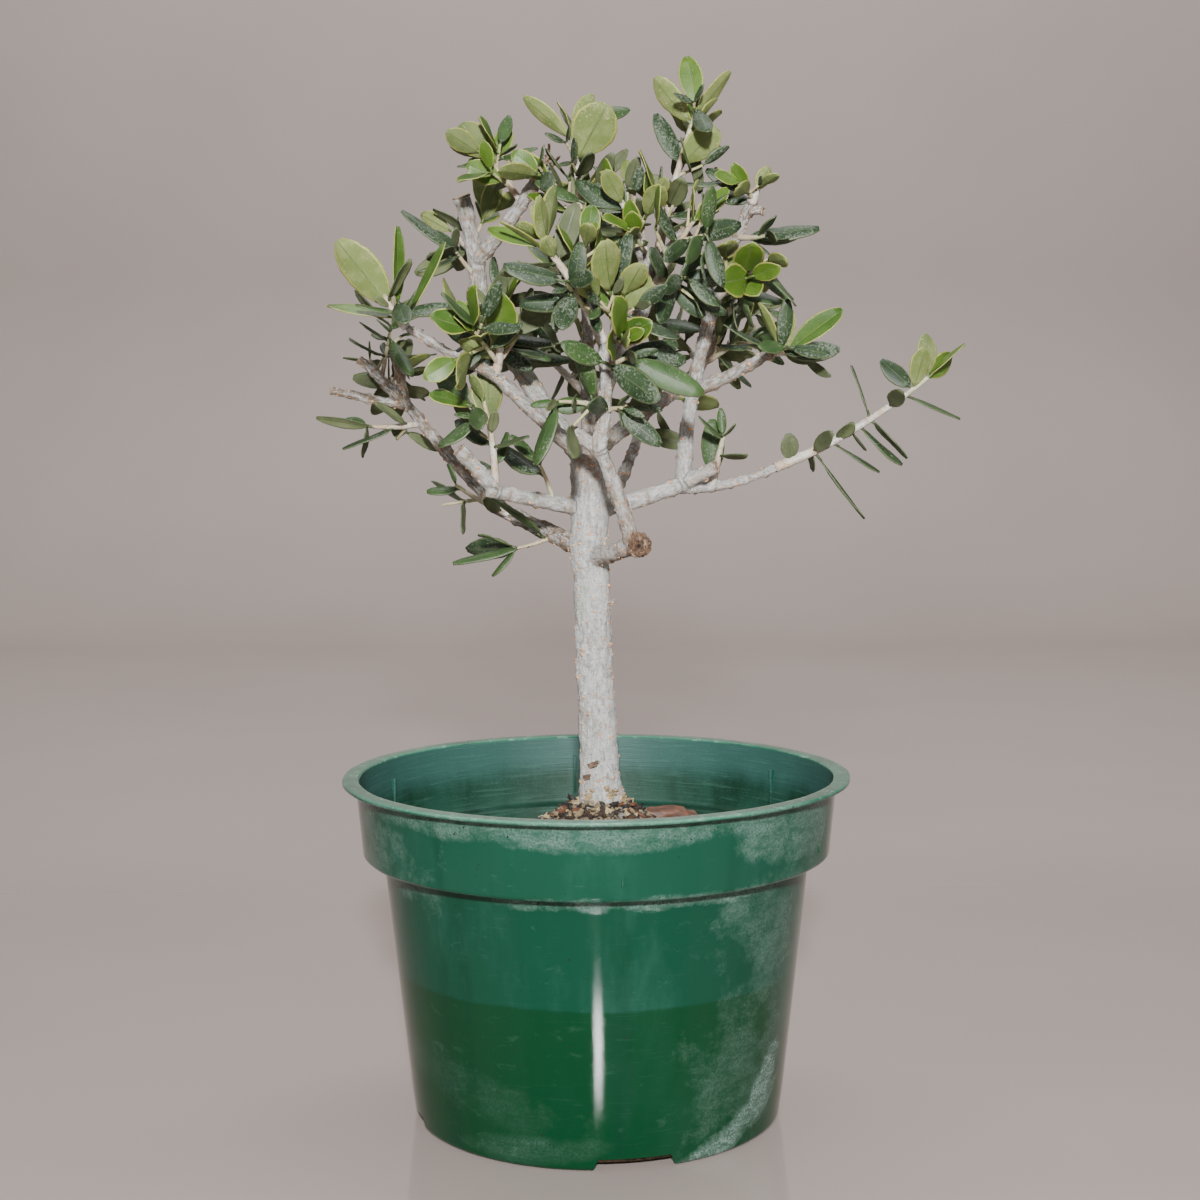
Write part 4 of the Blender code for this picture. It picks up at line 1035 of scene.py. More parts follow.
def callus_finish():
    """Dark healed wood with a paler crust."""
    f = Finish("healed_wood", 0.85, 0.2)
    grain = f.noise(f.object, 900.0, 5.0, 0.75)
    crust = f.noise(f.object, 380.0, 4.0, 0.7)
    base = f.mix(f.between(grain, 0.40, 0.62), (0.085, 0.050, 0.032), (0.21, 0.13, 0.085))
    base = f.coats(base, (crust, 0.52, 0.64, 0.7, (0.42, 0.34, 0.26)))
    base = f.mix(f.attribute("hollow"), base, (0.035, 0.020, 0.013))
    return f.done(base, f.bump(f.times_plus(crust, 0.6, grain), 0.0010))


def shoot_finish():
    """Young wood: pale and smooth, going from grey to cream and green at the tips."""
    f = Finish("young_shoots", 0.6, 0.4)
    fine = f.noise(f.object, 900.0, 3.0)
    wide = f.noise(f.object, 160.0, 2.0)
    base = f.coats(
        f.mix(f.attribute("age"), (0.36, 0.37, 0.17), (0.50, 0.475, 0.43)),
        (wide, 0.42, 0.60, 0.8, (0.40, 0.29, 0.20)),
        (fine, 0.48, 0.34, 0.6, (0.20, 0.15, 0.10)),
    )
    return f.done(base, f.bump(fine, 0.0002, 0.7))


def leaf_finish(name, colour, tint, fleck, amount, roughness, specular):
    """One side of a leaf: its colour, a second tint in patches, and pale flecks."""
    f = Finish(name, roughness, specular)
    patches = f.noise(f.object, 170.0, 3.0)
    pores = f.noise(f.object, 2600.0, 2.0)
    flecks = f.mask(FLECKS, Scale=1500.0, Patches=110.0, Amount=amount)
    base = f.coat(f.mix(f.between(patches, 0.38, 0.66), colour, tint), flecks, 0.85, fleck)
    normal = f.bump(f.times_plus(flecks, 0.5, pores), 0.00012, 0.6)
    return f.done(base, normal, f.times_plus(flecks, 0.25, roughness))


def plain_finish(name, colour, roughness, scale=700.0, shade=0.75, bump=0.0001):
    """A small trim colour with a little unevenness."""
    f = Finish(name, roughness)
    grain = f.noise(f.object, scale, 3.0)
    darker = tuple(c * shade for c in colour)
    return f.done(f.mix(f.between(grain, 0.35, 0.65), darker, colour), f.bump(grain, bump, 0.8))


def floor_finish():
    """Polished underfoot and matt further back."""
    f = Finish("pale_floor", 0.2, 0.5)
    x, y, z = f.split(f.object)
    cloud = f.noise(f.object, 5.0, 2.0)
    colour = f.mix(cloud, (0.285, 0.238, 0.220), (0.325, 0.272, 0.252))
    return f.done(colour, roughness=f.times_plus(f.between(y, 0.20, 0.45), 0.6, 0.04))


def rim_edge(f, height):
    """The edge at the very top of the rim."""
    return f.between(height, (POT_HEIGHT - 1.1) * MM, (POT_HEIGHT - 0.35) * MM)


def chalk_marks(f, wisps):
    """All the dried water marks on the pot, broken up into wisps and grains."""
    marks = None
    for turn, height, half_turn, half_height, slant, ragged, strength in WATER_MARKS:
        mark = f.mask(
            WATER_MARK, Turn=turn, Height=height * MM, Half_turn=half_turn,
            Half_height=half_height * MM, Slant=slant * MM, Ragged=ragged,
        )
        mark = f.times(mark, strength)
        marks = mark if marks is None else f.maths("MAXIMUM", marks, mark)
    dust = f.noise(f.object, 1500.0, 3.0, 0.75)
    grains = f.times(f.between(dust, 0.28, 0.66), f.between(wisps, 0.30, 0.62))
    return f.times(marks, f.times_plus(grains, 0.75, 0.15))


def pot_finish():
    """Green plastic, faded above and deep below, with scuffs, a rubbed rim with a painted highlight along its
    top edge, and dried water marks.
    """
    f = Finish("pot_plastic", 0.3, 0.23)
    height = f.split(f.object)[2]
    waver = f.noise(f.object, 34.0, 4.0, 0.6)
    haze = f.noise(f.stretched(f.object, 1.0, 1.0, 0.35), 46.0, 6.0, 0.66)
    bands = f.noise(f.stretched(f.object, 1.0, 1.0, 0.05), 60.0, 2.0, 0.5)
    wisps = f.noise(f.stretched(f.object, 1.0, 1.0, 2.6), 130.0, 7.0, 0.72, 0.6)
    grain = f.noise(f.stretched(f.object, 1.0, 1.0, 0.3), 900.0, 3.0, 0.6)
    scratch = f.noise(f.stretched(f.object, 1.0, 1.0, 26.0), 60.0, 4.0, 0.65, 0.3)
    rubbing = f.noise(f.object, 210.0, 6.0, 0.7, 0.8)
    specks = f.noise(f.object, 620.0, 1.0)
    faded = f.between(f.times_plus(waver, 0.003, height), (FADE_Z + 0.9) * MM, (FADE_Z + 2.1) * MM)
    collar = f.between(height, (COLLAR_FOOT_Z - 1) * MM, (COLLAR_FOOT_Z + 0.5) * MM)
    base = f.mix(collar, f.mix(faded, POT_DEEP, POT_FADED), POT_COLLAR)
    base = f.coats(base, (bands, 0.56, 0.68, 0.4, (0.001, 0.026, 0.012)))
    veil = f.times(f.between(haze, 0.46, 0.76), 0.34)
    base = f.coat(base, veil, f.times_plus(faded, 0.75, 0.25), (0.03, 0.10, 0.075))
    base = f.coats(base, (wisps, 0.58, 0.74, 0.20, (0.06, 0.14, 0.105)))
    drag = f.times(f.between(scratch, 0.60, 0.68), f.between(haze, 0.40, 0.60))
    base = f.coat(base, drag, 0.07, (0.07, 0.16, 0.12))
    # the rim's top edge: rubbed in patches, plus a painted highlight all along it
    edge = rim_edge(f, height)
    worn = f.times(edge, f.between(waver, 0.3, 0.6))
    base = f.mix(f.times_plus(worn, 0.45, f.times(edge, 0.25)), base, RIM_WEAR_AND_HIGHLIGHT)
    base = f.coat(base, f.times(edge, f.between(rubbing, 0.52, 0.66)), 0.45, (0.24, 0.36, 0.31))
    chalk = chalk_marks(f, wisps)
    base = f.mix(chalk, base, (0.27, 0.37, 0.33))
    base = f.mix(f.between(specks, 0.765, 0.79), base, (0.01, 0.018, 0.01))
    normal = f.bump(f.times_plus(chalk, 0.8, f.times(grain, 0.12)), 0.0002, 0.4)
    return f.done(base, normal, f.times_plus(chalk, 0.6, f.times_plus(haze, 0.06, 0.05)))


def pot_inside_finish():
    """The paler inner wall with its faint rings."""
    f = Finish("pot_inner_wall", 0.55, 0.3)
    height = f.split(f.object)[2]
    haze = f.noise(f.stretched(f.object, 1.0, 1.0, 0.5), 60.0, 5.0, 0.65)
    rings = f.noise(f.stretched(f.object, 0.6, 0.6, 12.0), 95.0, 3.0, 0.6)
    dust = f.noise(f.object, 1500.0, 2.0)
    base = f.coats(
        f.mix(f.between(haze, 0.36, 0.66), (0.002, 0.024, 0.012), (0.009, 0.045, 0.029)),
        (f.times_plus(haze, 0.006, height), 98 * MM, 107 * MM, 0.7, (0.027, 0.086, 0.075)),
        (rings, 0.54, 0.70, 0.25, (0.05, 0.13, 0.10)),
        (dust, 0.52, 0.75, 0.07, (0.15, 0.24, 0.21)),
    )
    # the top edge of the rim, worn and with a painted highlight
    base = f.coat(base, rim_edge(f, height), 0.5, RIM_WEAR_AND_HIGHLIGHT)
    return f.done(base, f.bump(f.times_plus(haze, 0.5, rings), 0.0003, 0.5))


def soil_finish():
    f = Finish("potting_mix", 0.95, 0.2)
    crumb = f.noise(f.object, 520.0, 5.0, 0.7)
    patch = f.noise(f.object, 60.0, 3.0)
    base = f.mix(f.between(crumb, 0.40, 0.60), (0.018, 0.012, 0.008), (0.13, 0.085, 0.045))
    base = f.coats(base, (patch, 0.45, 0.65, 0.5, (0.07, 0.045, 0.028)))
    return f.done(base, f.bump(crumb, 0.0012))


BARK = bark_finish()
CALLUS = callus_finish()
LIP = plain_finish("bark_lip", (0.30, 0.22, 0.16), 0.85, 900.0, 0.5, 0.0005)
KNOB = plain_finish("root_knobs", (0.33, 0.25, 0.13), 0.85, 900.0, 0.5, 0.0006)
CUT_WOOD = plain_finish("cut_wood", (0.24, 0.16, 0.095), 0.85, 700.0, 0.35, 0.0006)
PORES = plain_finish("bark_pores", (0.60, 0.33, 0.17), 0.7, 1500.0, 0.75, 0.0001)
PEELING = plain_finish("bark_peelings", (0.50, 0.35, 0.25), 0.8, 800.0, 0.55, 0.0003)
SCAR = plain_finish("bark_scars", (0.20, 0.125, 0.085), 0.85, 900.0, 0.5, 0.0005)
SHOOTS = shoot_finish()
# each kind of leaf: upper side, back, edge, rib, and the second tint of both sides
OLD_LEAVES = (
    leaf_finish(
        "old_leaf_top", (0.013, 0.029, 0.011), (0.023, 0.046, 0.016), (0.125, 0.145, 0.110), 0.58, 0.46, 0.3
    ),
    leaf_finish(
        "old_leaf_back", (0.070, 0.085, 0.042), (0.095, 0.110, 0.058), (0.15, 0.16, 0.10), 0.3, 0.7, 0.15
    ),
    plain_finish("old_leaf_edge", (0.070, 0.095, 0.038), 0.5),
    plain_finish("old_leaf_rib", (0.045, 0.068, 0.024), 0.5),
    leaf_finish(
        "old_leaf_top_light", (0.024, 0.054, 0.014), (0.036, 0.076, 0.018),
        (0.135, 0.16, 0.105), 0.42, 0.45, 0.3
    ),
    leaf_finish(
        "old_leaf_back_light", (0.095, 0.115, 0.052), (0.125, 0.145, 0.07),
        (0.17, 0.185, 0.115), 0.2, 0.7, 0.15
    ),
)
YOUNG_LEAVES = (
    leaf_finish(
        "young_leaf_top", (0.052, 0.105, 0.010), (0.072, 0.135, 0.014), (0.16, 0.20, 0.075), 0.2, 0.4, 0.35
    ),
    leaf_finish(
        "young_leaf_back", (0.112, 0.147, 0.042), (0.165, 0.195, 0.070), (0.25, 0.275, 0.13), 0.40, 0.7, 0.15
    ),
    plain_finish("young_leaf_edge", (0.25, 0.26, 0.060), 0.5),
    plain_finish("young_leaf_rib", (0.085, 0.125, 0.030), 0.5),
    leaf_finish(
        "young_leaf_top_deep", (0.034, 0.078, 0.009), (0.048, 0.100, 0.012),
        (0.13, 0.17, 0.075), 0.3, 0.4, 0.35
    ),
    leaf_finish(
        "young_leaf_back_deep", (0.092, 0.124, 0.040), (0.135, 0.162, 0.062),
        (0.21, 0.235, 0.12), 0.38, 0.7, 0.15
    ),
)
POT = pot_finish()
POT_INSIDE = pot_inside_finish()
SOIL = soil_finish()
CHAR = plain_finish("char", (0.012, 0.010, 0.009), 0.6, 1400.0, 0.6, 0.0002)
HUMUS = plain_finish("humus", (0.04, 0.023, 0.013), 0.9, 1400.0, 0.5, 0.0003)
GRIT = (
    plain_finish("pumice", (0.21, 0.155, 0.085), 0.9, 1400.0, 0.6, 0.0003),
    plain_finish("straw", (0.36, 0.28, 0.15), 0.85, 1400.0, 0.6, 0.0002),
    CHAR,
    HUMUS,
    plain_finish("stone", (0.20, 0.185, 0.165), 0.7, 1400.0, 0.7, 0.0002),
)
CHIP = plain_finish("red_bark", (0.13, 0.050, 0.025), 0.6, 260.0, 0.45, 0.0005)


# ---------------------------------------------------------------- wood


def trunk_radius(t):
    """The root flare, a slim middle and the swelling where the boughs leave."""
    flare = 1.0 * math.exp(-t / 0.15) + 2.2 * math.exp(-t / 0.035)
    swell = 0.5 * math.exp(-((t - 0.78) / 0.13) ** 2)
    return 6.2 - 0.65 * t + flare + swell


def bough_radius(foot, tip, t):
    """A bough swells a little at its foot."""
    return foot + (tip - foot) * t + 0.4 * math.exp(-t / 0.12) - 0.3


def wood_runs(crown):
    """Every limb and cut stub as (path, radius rule)."""
    runs = []
    for name, (path, foot, tip) in crown.limbs.items():
        if name == "trunk":
            start, middle, end = path
            runs.append(((start - np.array((0, 0, 2.5)), middle, end), trunk_radius))
        else:
            runs.append((path, lambda t, a=foot, b=tip: bough_radius(a, b, t)))
    for path, foot, cut in stub_paths(crown.limbs):
        runs.append((path, lambda t, a=foot, b=cut: a + (b - a) * t))
    return runs


def length_of(path):
    points = np.array([place(path, t / 12) for t in range(13)])
    return float(np.linalg.norm(np.diff(points, axis=0), axis=1).sum())


def tubes(name, runs, step, resolution):
    """Bevelled curves along all the runs, made one mesh."""
    curve = bpy.data.curves.new(name, "CURVE")
    curve.dimensions = "3D"
    curve.bevel_depth = MM
    curve.bevel_resolution = resolution
    curve.use_fill_caps = True
    for path, radius in runs:
        count = max(3, round(length_of(path) / step))
        line = curve.splines.new("POLY")
        line.points.add(count)
        for k, point in enumerate(line.points):
            t = k / count
            point.co = (*(place(path, t) * MM), 1.0)
            point.radius = radius(t)
    only(in_scene(name, curve))
    bpy.ops.object.convert(target="MESH")
    return bpy.context.view_layer.objects.active


def limb_coordinates(points, runs):
    """For each point: distance along the nearest run, angle round it, its number and its radius there."""
    best = np.full(len(points), 1e9)
    along = np.zeros(len(points))
    turn = np.zeros(len(points))
    number = np.zeros(len(points), int)
    thick = np.zeros(len(points))
    steps = 24
    for n, (path, radius) in enumerate(runs):
        spine = np.array([place(path, t) for t in np.linspace(0, 1, steps + 1)])
        low, high = spine.min(0) - 9, spine.max(0) + 9
        near = np.nonzero(((points > low) & (points < high)).all(1))[0]
        if not len(near):
            continue
        reach = np.concatenate(([0], np.cumsum(np.linalg.norm(np.diff(spine, axis=0), axis=1))))
        side = frame_of(slope(path, 0.5), 0.0)
        p = points[near]
        a = spine[:-1]
        ab = spine[1:] - a
        share = ((p[:, None, :] - a) * ab).sum(2) / (ab * ab).sum(1)
        share = np.clip(share, 0, 1)
        foot = a + share[..., None] * ab
        far = np.linalg.norm(p[:, None, :] - foot, axis=2)
        k = far.argmin(1)
        rows = np.arange(len(p))
        r = np.array([radius(t) for t in (k + share[rows, k]) / steps])
        gap = far[rows, k] - r
        axis = ab[k] / np.linalg.norm(ab[k], axis=1)[:, None]
        off = p - foot[rows, k]
        first = side - axis * (axis @ side)[:, None]
        first /= np.linalg.norm(first, axis=1)[:, None]
        second = np.cross(axis, first)
        angle = np.arctan2((off * second).sum(1), (off * first).sum(1))
        closer = gap < best[near]
        take = near[closer]
        best[take] = gap[closer]
        along[take] = (reach[k] + share[rows, k] * (reach[k + 1] - reach[k]))[closer]
        turn[take] = angle[closer]
        number[take] = n
        thick[take] = r[closer]
    return along, turn, number, thick


def bark_relief(points, normals, along, turn, number, thick):
    """Lifts and lowers the bark: furrows along the limb, soft lumps, and rings where leaves once stood."""
    local = np.stack((np.cos(turn) * thick, np.sin(turn) * thick, along + number * 37.0), axis=1)
    furrow = 1 - np.abs(2 * layers(local * (1.3, 1.3, 0.45), 3) - 1) * 2
    fine = layers(local * (2.6, 2.6, 0.9), 2) - 0.5
    lumps = layers(local * 0.22, 2) - 0.5
    knots = np.clip(layers(local * (0.55, 0.55, 0.4) + 31, 2) - 0.58, 0, 1)
    lift = 0.09 * furrow + 0.32 * fine + lumps * (0.5 + 0.10 * thick) + 1.5 * knots - 0.14
    step = 8.5 + 2.5 * np.sin(number * 2.3)
    phase = np.mod(along + number * 3.1, step) - step / 2
    sides = 0.55 + 0.45 * np.cos(2 * turn + np.floor(along / step) * math.pi)
    ring = np.exp(-(phase / 0.75) ** 2) * sides
    lift = lift + np.where(thick < SLIM_R, 0.46 * ring, 0.06 * ring)
    foot = np.exp(-np.maximum(points[:, 2] - TRUNK_FOOT[2], 0) / 4.0) * (number == 0)
    lift = lift + foot * (layers(local * 0.33 + 5.0, 2) - 0.35) * 1.9
    return points + normals * lift[:, None], local, ring


def fork_shade(points):
    """Painted shade: brown where the boughs leave the trunk, behind the front fork and at the foot of the
    knob.
    """
    brown_and_shade = np.zeros(len(points))
    for x, y, z, reach, strength in FORK_SHADES:
        far = np.linalg.norm(points - (x, y, z), axis=1)
        brown_and_shade = np.maximum(brown_and_shade, strength * np.clip(1.2 - far / reach, 0, 1))
    return brown_and_shade * np.clip(layers(points * 0.7 + 3, 3) * 2.2 - 0.45, 0, 1)


def crust_shares(crown):
    """The share of brown crust on each run, a stub taking after its limb; the extra on the back-left boughs
    is partly painted shade.
    """
    owners = list(crown.limbs) + [row[0] for row in STUBS]
    return np.array([PALE_LIMBS.get(name, CRUST) for name in owners])


def make_wood(crown, runs):
    """Trunk, boughs and cut stubs grown into one piece with the bark's relief."""
    item = tubes("wood", runs, 2.0, 6)
    remesh = item.modifiers.new("grown", "REMESH")
    remesh.mode = "VOXEL"
    remesh.voxel_size = VOXEL * MM
    remesh.use_smooth_shade = True
    soften = item.modifiers.new("healed", "SMOOTH")
    soften.factor = 0.6
    soften.iterations = 5
    apply_all(item)
    normals = normals_of(item)
    points = points_of(item)
    along, turn, number, thick = limb_coordinates(points, runs)
    points, local, ring = bark_relief(points, normals, along, turn, number, thick)
    set_points(item, points)
    limb = item.data.attributes.new("limb", "FLOAT_VECTOR", "POINT")
    limb.data.foreach_set("vector", (local * MM).astype(np.float32).ravel())
    tips = np.array([spot for spot, way, r in cut_ends(crown)])
    near_cut = np.linalg.norm(points[:, None, :] - tips, axis=2).min(1)
    brown_and_shade = np.clip(0.85 - near_cut / 2.6, 0, 1) + 0.85 * ring * (thick < SLIM_R)
    # painted shade: the downward-facing sides of the boughs are browned
    brown_and_shade = brown_and_shade + 0.6 * np.clip(-normals[:, 2] - 0.2, 0, 1) * (number > 0)
    # painted shade: brown in the forks
    brown_and_shade = brown_and_shade + fork_shade(points)
    brown_and_shade = np.clip(brown_and_shade * (0.4 + layers(points * 0.9, 2) * 1.1), 0, 1)
    point_value(item, "brown_and_shade", brown_and_shade)
    point_value(item, "slim", np.clip((4.9 - thick) / 1.4, 0, 1) * crust_shares(crown)[number])
    item.data.shade_smooth()
    return paint(item, BARK)


def cut_ends(crown):
    """Where wood was cut: (middle of the cut, the way it faces, its radius)."""
    cut = stub_paths(crown.limbs)[1:] + [crown.limbs[name] for name in ("stub_top_bough", "forked_bough")]
    return [(path[2], slope(path, 1), tip_r) for path, foot_r, tip_r in cut]


def cut_lip(at, way, r):
    """A thin uneven lip of bark round a cut."""
    bpy.ops.mesh.primitive_torus_add(
        location=at, rotation=turned_to(way), major_segments=28, minor_segments=8,
        major_radius=(r - 0.45) * MM, minor_radius=0.4 * MM,
    )
    ring = bpy.context.active_object
    settle(ring)
    points = points_of(ring)
    out = points - points.mean(0)
    lift = (layers(points * 1.1 + r, 2) - 0.5) * 0.7
    set_points(ring, points + out / np.linalg.norm(out, axis=1)[:, None] * lift[:, None])
    return ring


def cut_face(at, way, r, shift):
    """The dished wood inside a cut."""
    bpy.ops.mesh.primitive_circle_add(
        location=at, rotation=turned_to(way), vertices=24, radius=(r - 0.25) * MM, fill_type="NGON"
    )
    disc = bpy.context.active_object
    with editing(disc):
        for share, drop in ((0.25, -0.05), (0.35, -0.28), (0.5, -0.1)):
            bpy.ops.mesh.inset(thickness=r * share * 0.5 * MM, depth=drop * MM)
    settle(disc)
    points = points_of(disc)
    set_points(disc, points + way * ((layers(points * 1.7 + shift, 2) - 0.5) * 0.5)[:, None])
    solid = disc.modifiers.new("thick", "SOLIDIFY")
    solid.thickness = 0.3 * MM
    solid.offset = -1
    apply_all(disc)
    return disc


def make_cuts(crown):
    """The lips and the faces of all the cuts."""
    rng = random.Random(5)
    lips, faces = [], []
    for spot, way, r in cut_ends(crown):
        at = Vector([float(c) for c in spot + way * 0.05]) * MM
        lips.append(cut_lip(at, way, r))
        faces.append(cut_face(at, way, r, rng.uniform(0, 9)))
    lips = join("cut_lips", lips)
    lips.data.shade_smooth()
    return paint(lips, LIP), paint(join("cut_faces", faces), CUT_WOOD)


def make_knuckle():
    """The knob where the front bough was cut back: a lumpy dome in ridges round a small hollow."""
    spot, way, r = KNUCKLE
    bpy.ops.mesh.primitive_ico_sphere_add(subdivisions=6, radius=1.0)
    knob = bpy.context.active_object
    knob.name = "knuckle"
    ball = points_of(knob) * MM
    rim = np.hypot(ball[:, 0], ball[:, 1])
    front = np.clip(ball[:, 2] * 3, 0, 1)
    lumps = (layers(ball * 2.1 + 3, 3) - 0.5) * 0.62
    grain = (layers(ball * 8.0, 2) - 0.5) * 0.20
    ridges = 0.055 * np.cos(rim * 17 + 5 * layers(ball * 1.8, 2)) * front
    hollow = 0.42 * np.exp(-((rim - 0.05) / 0.26) ** 2) * front
    points = ball * (1 + lumps + grain + ridges)[:, None] * (1.0, 1.16, 0.72)
    points[:, 2] -= hollow
    set_points(knob, points * r)
    knob.rotation_euler = turned_to(way)
    knob.location = [c * MM for c in spot]
    settle(knob)
    point_value(knob, "hollow", np.clip(hollow * 2.2 - ridges * 5 - grain * 3, 0, 1))
    knob.data.shade_smooth()
    return paint(knob, CALLUS)


def make_pores(runs, bark):
    """Small rusty pores scattered over the bark."""
    rng = random.Random(11)
    ball, faces = ball_shape(1)
    lengths = [length_of(path) * (1.0 if n else TRUNK_PORES) for n, (path, radius) in enumerate(runs)]
    shapes = []
    while len(shapes) < LENTICELS:
        path, radius = rng.choices(runs, lengths)[0]
        t = rng.uniform(0.03, 0.97)
        axis = slope(path, t)
        out = frame_of(axis, rng.uniform(0, 2 * math.pi))
        hit = met(bark, place(path, t) + out * (radius(t) + 2.5), -out, 4)
        if hit is None:
            continue
        spot, normal = hit
        size = rng.uniform(0.32, 0.52) if rng.random() < 0.8 else rng.uniform(0.52, 0.7)
        tall = unit(axis - normal * float(axis @ normal))
        wide = np.cross(normal, tall)
        shape = ball * (size * rng.uniform(0.9, 1.3), size * rng.uniform(0.8, 1.2), size * 0.8)
        shapes.append(spot + shape @ np.array((wide, tall, normal)))
    return paint(copies("bark_pores", shapes, faces), PORES)


def make_root_knobs(bark):
    """Lumpy ochre knobs in clusters round the foot of the trunk."""
    rng = random.Random(23)
    ball, faces = ball_shape(2)
    shapes = []
    for turn, height, spread in ROOT_KNOBS:
        for k in range(18):
            way = math.radians(turn) + rng.gauss(0, spread / 12)
            out = np.array((math.sin(way), -math.cos(way), 0.0))
            level = height + rng.gauss(0, spread * 0.75)
            hit = met(bark, np.array((*TRUNK_FOOT[:2], level)) + out * 16, -out, 16)
            if hit is None:
                continue
            size = rng.uniform(0.5, 1.1)
            shape = jagged(rng, ball, 0.75, 1.2) * (size, size * rng.uniform(0.7, 1.3), size * 0.6)
            shapes.append(hit[0] + shape @ turning(rng))
    return paint(copies("root_knobs", shapes, faces), KNOB)


def ribbon(start, ahead, out, width, length, curl, thick=0.16, ends=(1.0, 0.25)):
    """A thin torn strip that curls away from the surface; its ends have these shares of its width."""
    start, ahead, out = np.array(start, float), unit(np.array(ahead, float)), np.array(out, float)
    out = unit(out - ahead * float(out @ ahead))
    side = np.cross(ahead, out)
    rows, spot, turn = [], start.copy(), 0.0
    steps = 16
    cup = 0.18 * width
    for k in range(steps + 1):
        s = k / steps
        way = ahead * math.cos(turn) + out * math.sin(turn)
        up = out * math.cos(turn) - ahead * math.sin(turn)
        ragged = 0.12 * math.sin(9 * s + length) + 0.08 * math.sin(23 * s + width)
        half = width * (ends[0] + (ends[1] - ends[0]) * s + ragged * math.sin(math.pi * s)) / 2
        rows += [spot - side * half + up * cup, spot, spot + side * half * 0.9 + up * cup]
        spot = spot + way * (length / steps)
        turn += curl / steps * (0.4 + 1.2 * s)
    faces = [(a, a + 1, a + 4, a + 3) for k in range(steps) for a in (k * 3, k * 3 + 1)]
    item = mesh_object("ribbon", rows, faces)
    solid = item.modifiers.new("thick", "SOLIDIFY")
    solid.thickness = thick * MM
    apply_all(item)
    return item


def make_peelings(crown):
    """Pale strips of bark torn loose at the top of the forked bough."""
    path = crown.limbs["forked_bough"][0]
    end, ahead = path[2], slope(path, 1)
    strips = [
        ribbon(end + (-5.2, -2.8, -7), (-0.15, -0.35, 1), (-1, -0.25, 0), 1.7, 11.5, 1.5, ends=(1.1, 0.5)),
        ribbon(end + (-1.6, -2.4, -3), (0.4, -0.35, 0.7), (-0.5, -0.6, 0.6), 3.6, 9, 0.7, ends=(1.1, 0.12)),
        ribbon(end + (0.2, 1.8, -3), ahead, (0.2, 0.9, 0), 1.9, 6.0, 1.1),
    ]
    return paint(join("bark_peelings", strips), PEELING)


def make_scars(bark):
    """Two ragged flakes of brown bark standing off the front of the trunk, low down."""
    thick, flakes = 0.35, []
    for x, z, lean, length in SCARS:
        spot, out = met(bark, np.array((x, -20, z)), (0, 1, 0), 30)
        out = unit(out * (1, 1, 0.2))
        along = unit(np.cross(np.array((0, 0, 1.0)), out) + np.array((0, 0, lean)))
        under = spot + out * 0.3 + along * 0.6 - (0, 0, 0.8)
        flakes.append(ribbon(spot + out * 0.35, along, out, 1.7, length, 0.25, thick, (0.35, 0.2)))
        flakes.append(ribbon(under, along, out, 1.3, length * 0.7, 0.2, thick, (0.5, 0.3)))
    return paint(join("bark_scars", flakes), SCAR)


# ---------------------------------------------------------------- leaves

ROWS = (STALK, 0.19, 0.34, 0.52, 0.70, 0.86, 0.975)
COLUMNS = (-1.0, -0.87, -0.05, 0.05, 0.87, 1.0)
# the slot of each strip between columns, above and below, of the rim and of the stalk
TOP_SLOTS = (2, 0, 3, 0, 2)
BACK_SLOTS = (2, 1, 3, 1, 2)
RIM_SLOT = 2
STALK_SLOT = 3


def leaf_mesh(leaf, rng):
    """One leaf as a thin closed shell: points, faces and the slot of each face."""
    length, width, young = leaf.length, leaf.width, leaf.young
    side = np.cross(leaf.face, leaf.along)
    curl = rng.uniform(-0.16, 0.02) if young else rng.uniform(0.16, 0.42)
    twist = rng.uniform(-0.35, 0.35)
    sweep = rng.uniform(-0.05, 0.05) * length
    wave = rng.uniform(0.0, 0.05) * width
    phase = rng.uniform(0, 6.3)
    thick = 0.36 if young else 0.42
    top, back = [], []
    for s in ROWS:
        c, d = math.cos(twist * s), math.sin(twist * s)
        across = side * c + leaf.face * d
        up = leaf.face * c - side * d
        spine = spine_of(leaf, s) + side * (sweep * s * s)
        half = half_width(s, young) * width / 2
        for a in COLUMNS:
            groove = 0.05 * width * math.exp(-(a / 0.16) ** 2)
            sink = curl * half * abs(a) ** 2.4 + groove
            ripple = wave * abs(a) * math.sin(9 * s + phase + (2 if a > 0 else 0))
            point = spine + across * (half * a * (1 - 0.12 * abs(curl))) - up * (sink + ripple)
            shell = thick * (0.5 if abs(a) < 0.9 else 0.3) * (1 if s > 0.1 else 0.8)
            top.append(point + up * shell)
            back.append(point - up * (shell + (0.10 if abs(a) < 0.1 else 0)))
    rows, cols = len(ROWS), len(COLUMNS)
    under = rows * cols
    faces, slots = [], []
    for r in range(rows - 1):
        for k in range(cols - 1):
            a = r * cols + k
            faces.append((a + cols, a + cols + 1, a + 1, a))
            faces.append((a + under + 1, a + under + cols + 1, a + under + cols, a + under))
            slots += [TOP_SLOTS[k], BACK_SLOTS[k]]
    rim = [r * cols for r in range(rows)]
    rim += [(rows - 1) * cols + k for k in range(1, cols)]
    rim += [r * cols + cols - 1 for r in range(rows - 2, -1, -1)]
    rim += [k for k in range(cols - 2, 0, -1)]
    faces += [(a + under, b + under, b, a) for a, b in zip(rim, rim[1:] + rim[:1])]
    return np.array(top + back), faces, slots + [RIM_SLOT] * len(rim)


